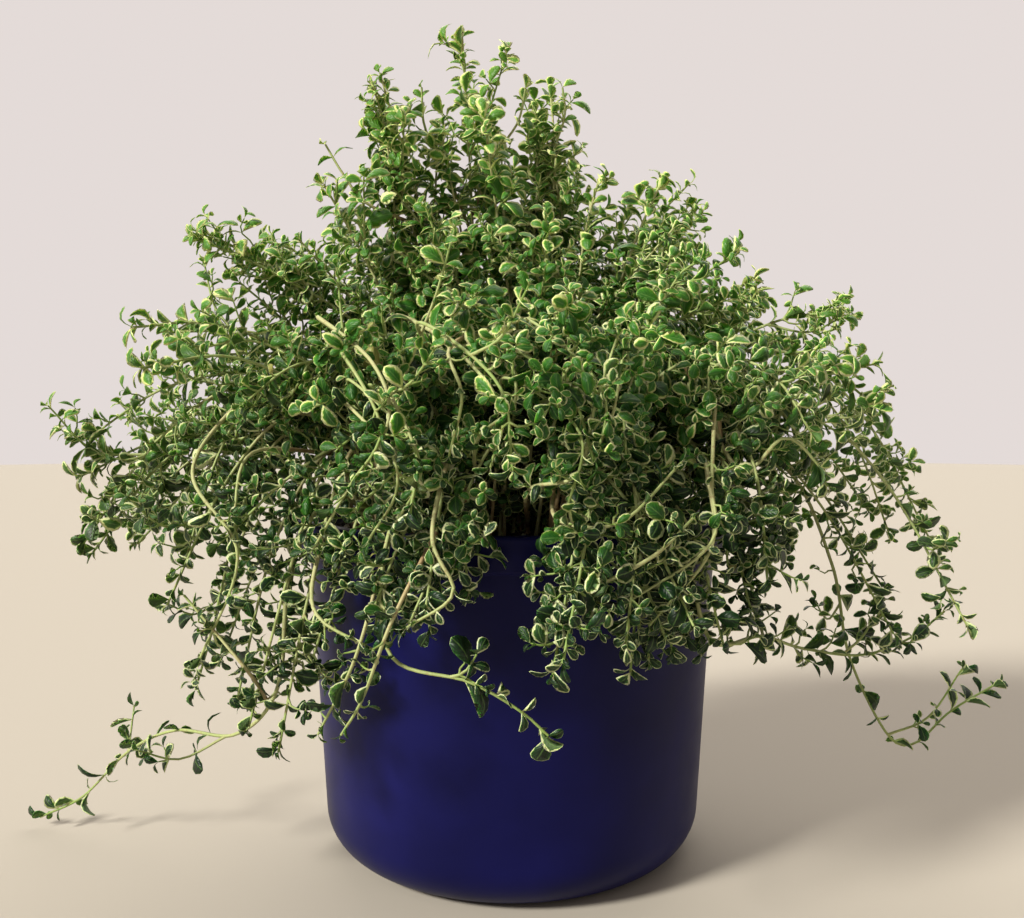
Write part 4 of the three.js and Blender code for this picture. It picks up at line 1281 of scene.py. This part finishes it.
# %% The sprig tree: leaves clear of pot and floor
LEAST_HEIGHT = 1.2 * MM       # of a leaf over the floor
for share in (0.55, 1):       # the middle of the blade, and its tip
    length = node(sprig, "Math", [noted["size"], share], operation="MULTIPLY")
    reach = node(sprig, "CombineXYZ", {"X": length})
    arm = node(sprig, "RotateVector", {"Vector": reach, "Rotation": noted["facing"]})
    spot = node(sprig, "VectorMath", [node(sprig, "InputPosition"), arm], operation="ADD")
    height = node(sprig, "SeparateXYZ", [spot]).outputs["Z"]
    flat = node(sprig, "VectorMath", [spot, LEVEL], operation="MULTIPLY")
    away = node(sprig, "VectorMath", [flat], operation="LENGTH")
    is_near = node(sprig, "Compare", [away, given["Pot Radius"]], operation="LESS_THAN")
    is_low = node(sprig, "Compare", [height, given["Pot Height"]], operation="LESS_THAN")
    in_pot = node(sprig, "BooleanMath", [is_near, is_low], operation="AND")
    in_floor = node(sprig, "Compare", [height, LEAST_HEIGHT], operation="LESS_THAN")
    is_hidden = node(sprig, "BooleanMath", [in_pot, in_floor], operation="OR")
    leaves = node(sprig, "DeleteGeometry", {"Geometry": leaves, "Selection": is_hidden})
pick = node(sprig, "RandomValue", {4: 0, 5: 3, "Seed": given["Seed"]}, data_type="INT")
shapes = node(sprig, "CollectionInfo", {"Collection": given["Blades"], "Separate Children": True})
leaves = node(sprig, "InstanceOnPoints", {
    "Points": leaves, "Instance": shapes, "Pick Instance": True, "Instance Index": pick,
    "Rotation": noted["facing"], "Scale": noted["size"]})
leaves = node(sprig, "RealizeInstances", [leaves])
leaves = node(sprig, "SetMaterial", {"Geometry": leaves, "Material": given["Leaf"]})
print("sprig tree so far:", len(sprig.nodes), "nodes")

# %% The sprig tree: down on the wood, and the result
pores = node(sprig, "DistributePointsOnFaces", {
    "Mesh": swept, "Density": given["Hair Density"], "Seed": given["Seed"]})
hair = node(sprig, "MeshCone", {
    "Vertices": 3, "Radius Top": 0, "Radius Bottom": 0.03 * MM, "Depth": given["Hair Length"]})
down = node(sprig, "InstanceOnPoints", {
    "Points": pores, "Instance": hair, "Rotation": pores.outputs["Rotation"], "Scale": drawn["hair"]})
down = node(sprig, "RealizeInstances", [down])
down = node(sprig, "SetMaterial", {"Geometry": down, "Material": given["Bark"]})
grown = node(sprig, "JoinGeometry", [[wood, leaves, down]])
for name in (*NOTES, "id"):
    grown = node(sprig, "RemoveAttribute", {"Geometry": grown, "Name": name})
connect(sprig, result, [grown])
print("sprig tree:", len(sprig.nodes), "nodes")

# %% [markdown]
# ## Growing every stem
#
# The tree runs once for each stem, and the result replaces that stem's CAD node. One piece for each
# node keeps the same parts list as the CAD, and keeps each mesh small.

# %% Growing every stem
LEAF_SEED = 40                # of the first stem's leaves
POT_MARGIN = 0.5              # mm; a leaf nearer to the pot than this is left out
total = 0
for index, stem in enumerate(stems):
    name = stem["name"]
    piece = new_object("thyme_" + name, skeleton("thyme_" + name, all_strands[name]))
    grow(piece, sprig, {
        "Sides": 5, "Lean": 0.25, "Lean at Tip": 0.7, "Facing Light": 0.62, "Crowding": 1.5,
        "Pot Radius": (RIM_RADIUS + POT_MARGIN) * MM, "Pot Height": (POT_HEIGHT + POT_MARGIN) * MM,
        "Hair Density": 60000.0, "Hair Length": 0.5 * MM, "Seed": LEAF_SEED + index,
        "Blades": blades, "Leaf": leaf_finish, "Bark": bark_finish})
    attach(piece, "root")
    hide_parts("stem_" + name)
    total += triangles(piece.data)
for blade in list(blades.objects):
    bpy.data.objects.remove(blade)
bpy.data.collections.remove(blades)
print("stems:", len(stems), "with", total, "triangles; materials of the last:",
      [m.name for m in piece.data.materials])

# %% [markdown]
# ## Floor, light and surroundings
#
# A plain pale floor in soft studio light. In the picture the light comes from high on the left: it
# gives the pot its broad pale band and the leaves their bright upper faces, and the front gets only a
# weak warm glow. An area light of window size was the other choice; a lamp that shines evenly from one
# side, twelve degrees wide, gives the same soft shadows and doesn't fade across the bush. A wide soft
# glow from behind and above lights the crown and the flanks, where the leaves let it through. The
# world is a pale room, brightest behind the plant.

# %% Floor and light
FLOOR_SIDES = 96
floor_finish, _, _ = new_material("pale_matt_card", {
    "Roughness": 0.85, "IOR": 1.5, "Base Color": linear("#B2AA9E")})
floor_mesh = bpy.data.meshes.new("floor")
turns = np.linspace(0, 2 * math.pi, FLOOR_SIDES, endpoint=False)
floor_mesh.from_pydata([(4 * math.cos(t), 4 * math.sin(t), 0) for t in turns], [],
                       [tuple(range(FLOOR_SIDES))])
floor = new_object("floor", floor_mesh)
floor_mesh.materials.append(floor_finish)


def sun_light(name, towards, strength, softness, colour):
    """A lamp that shines evenly from one direction. softness is its width in degrees."""
    lamp = bpy.data.lights.new(name, "SUN")
    lamp.energy, lamp.angle, lamp.color = strength, math.radians(softness), linear(colour)[:3]
    holder = bpy.data.objects.new(name, lamp)
    scene.collection.objects.link(holder)
    holder.location = towards
    holder.rotation_euler = Vector(towards).to_track_quat("Z", "Y").to_euler()


sun_light("window", (-1.2, -0.85, 0.95), 5.0, 12, "#FFFCF2")
sun_light("room_glow", (0.15, -1.0, 0.7), 0.15, 45, "#FFF1DC")
sun_light("far_glow", (0.1, 1.0, 1.1), 1.5, 70, "#FFFAEE")
world = bpy.data.worlds.new("pale_room")
world.use_nodes = True
tree = world.node_tree
towards = node(tree, "SeparateXYZ", [node(tree, "TexCoord").outputs["Object"]])
far_side = node(tree, "MapRange", {
    "Value": towards.outputs["Y"], "From Min": -0.2, "From Max": 0.85, "To Min": 0.34, "To Max": 0.95},
    interpolation_type="SMOOTHSTEP")
connect(tree, tree.nodes["Background"], {"Color": linear("#E9E0DD"), "Strength": far_side})
scene.world = world
scene.view_settings.view_transform = "Standard"
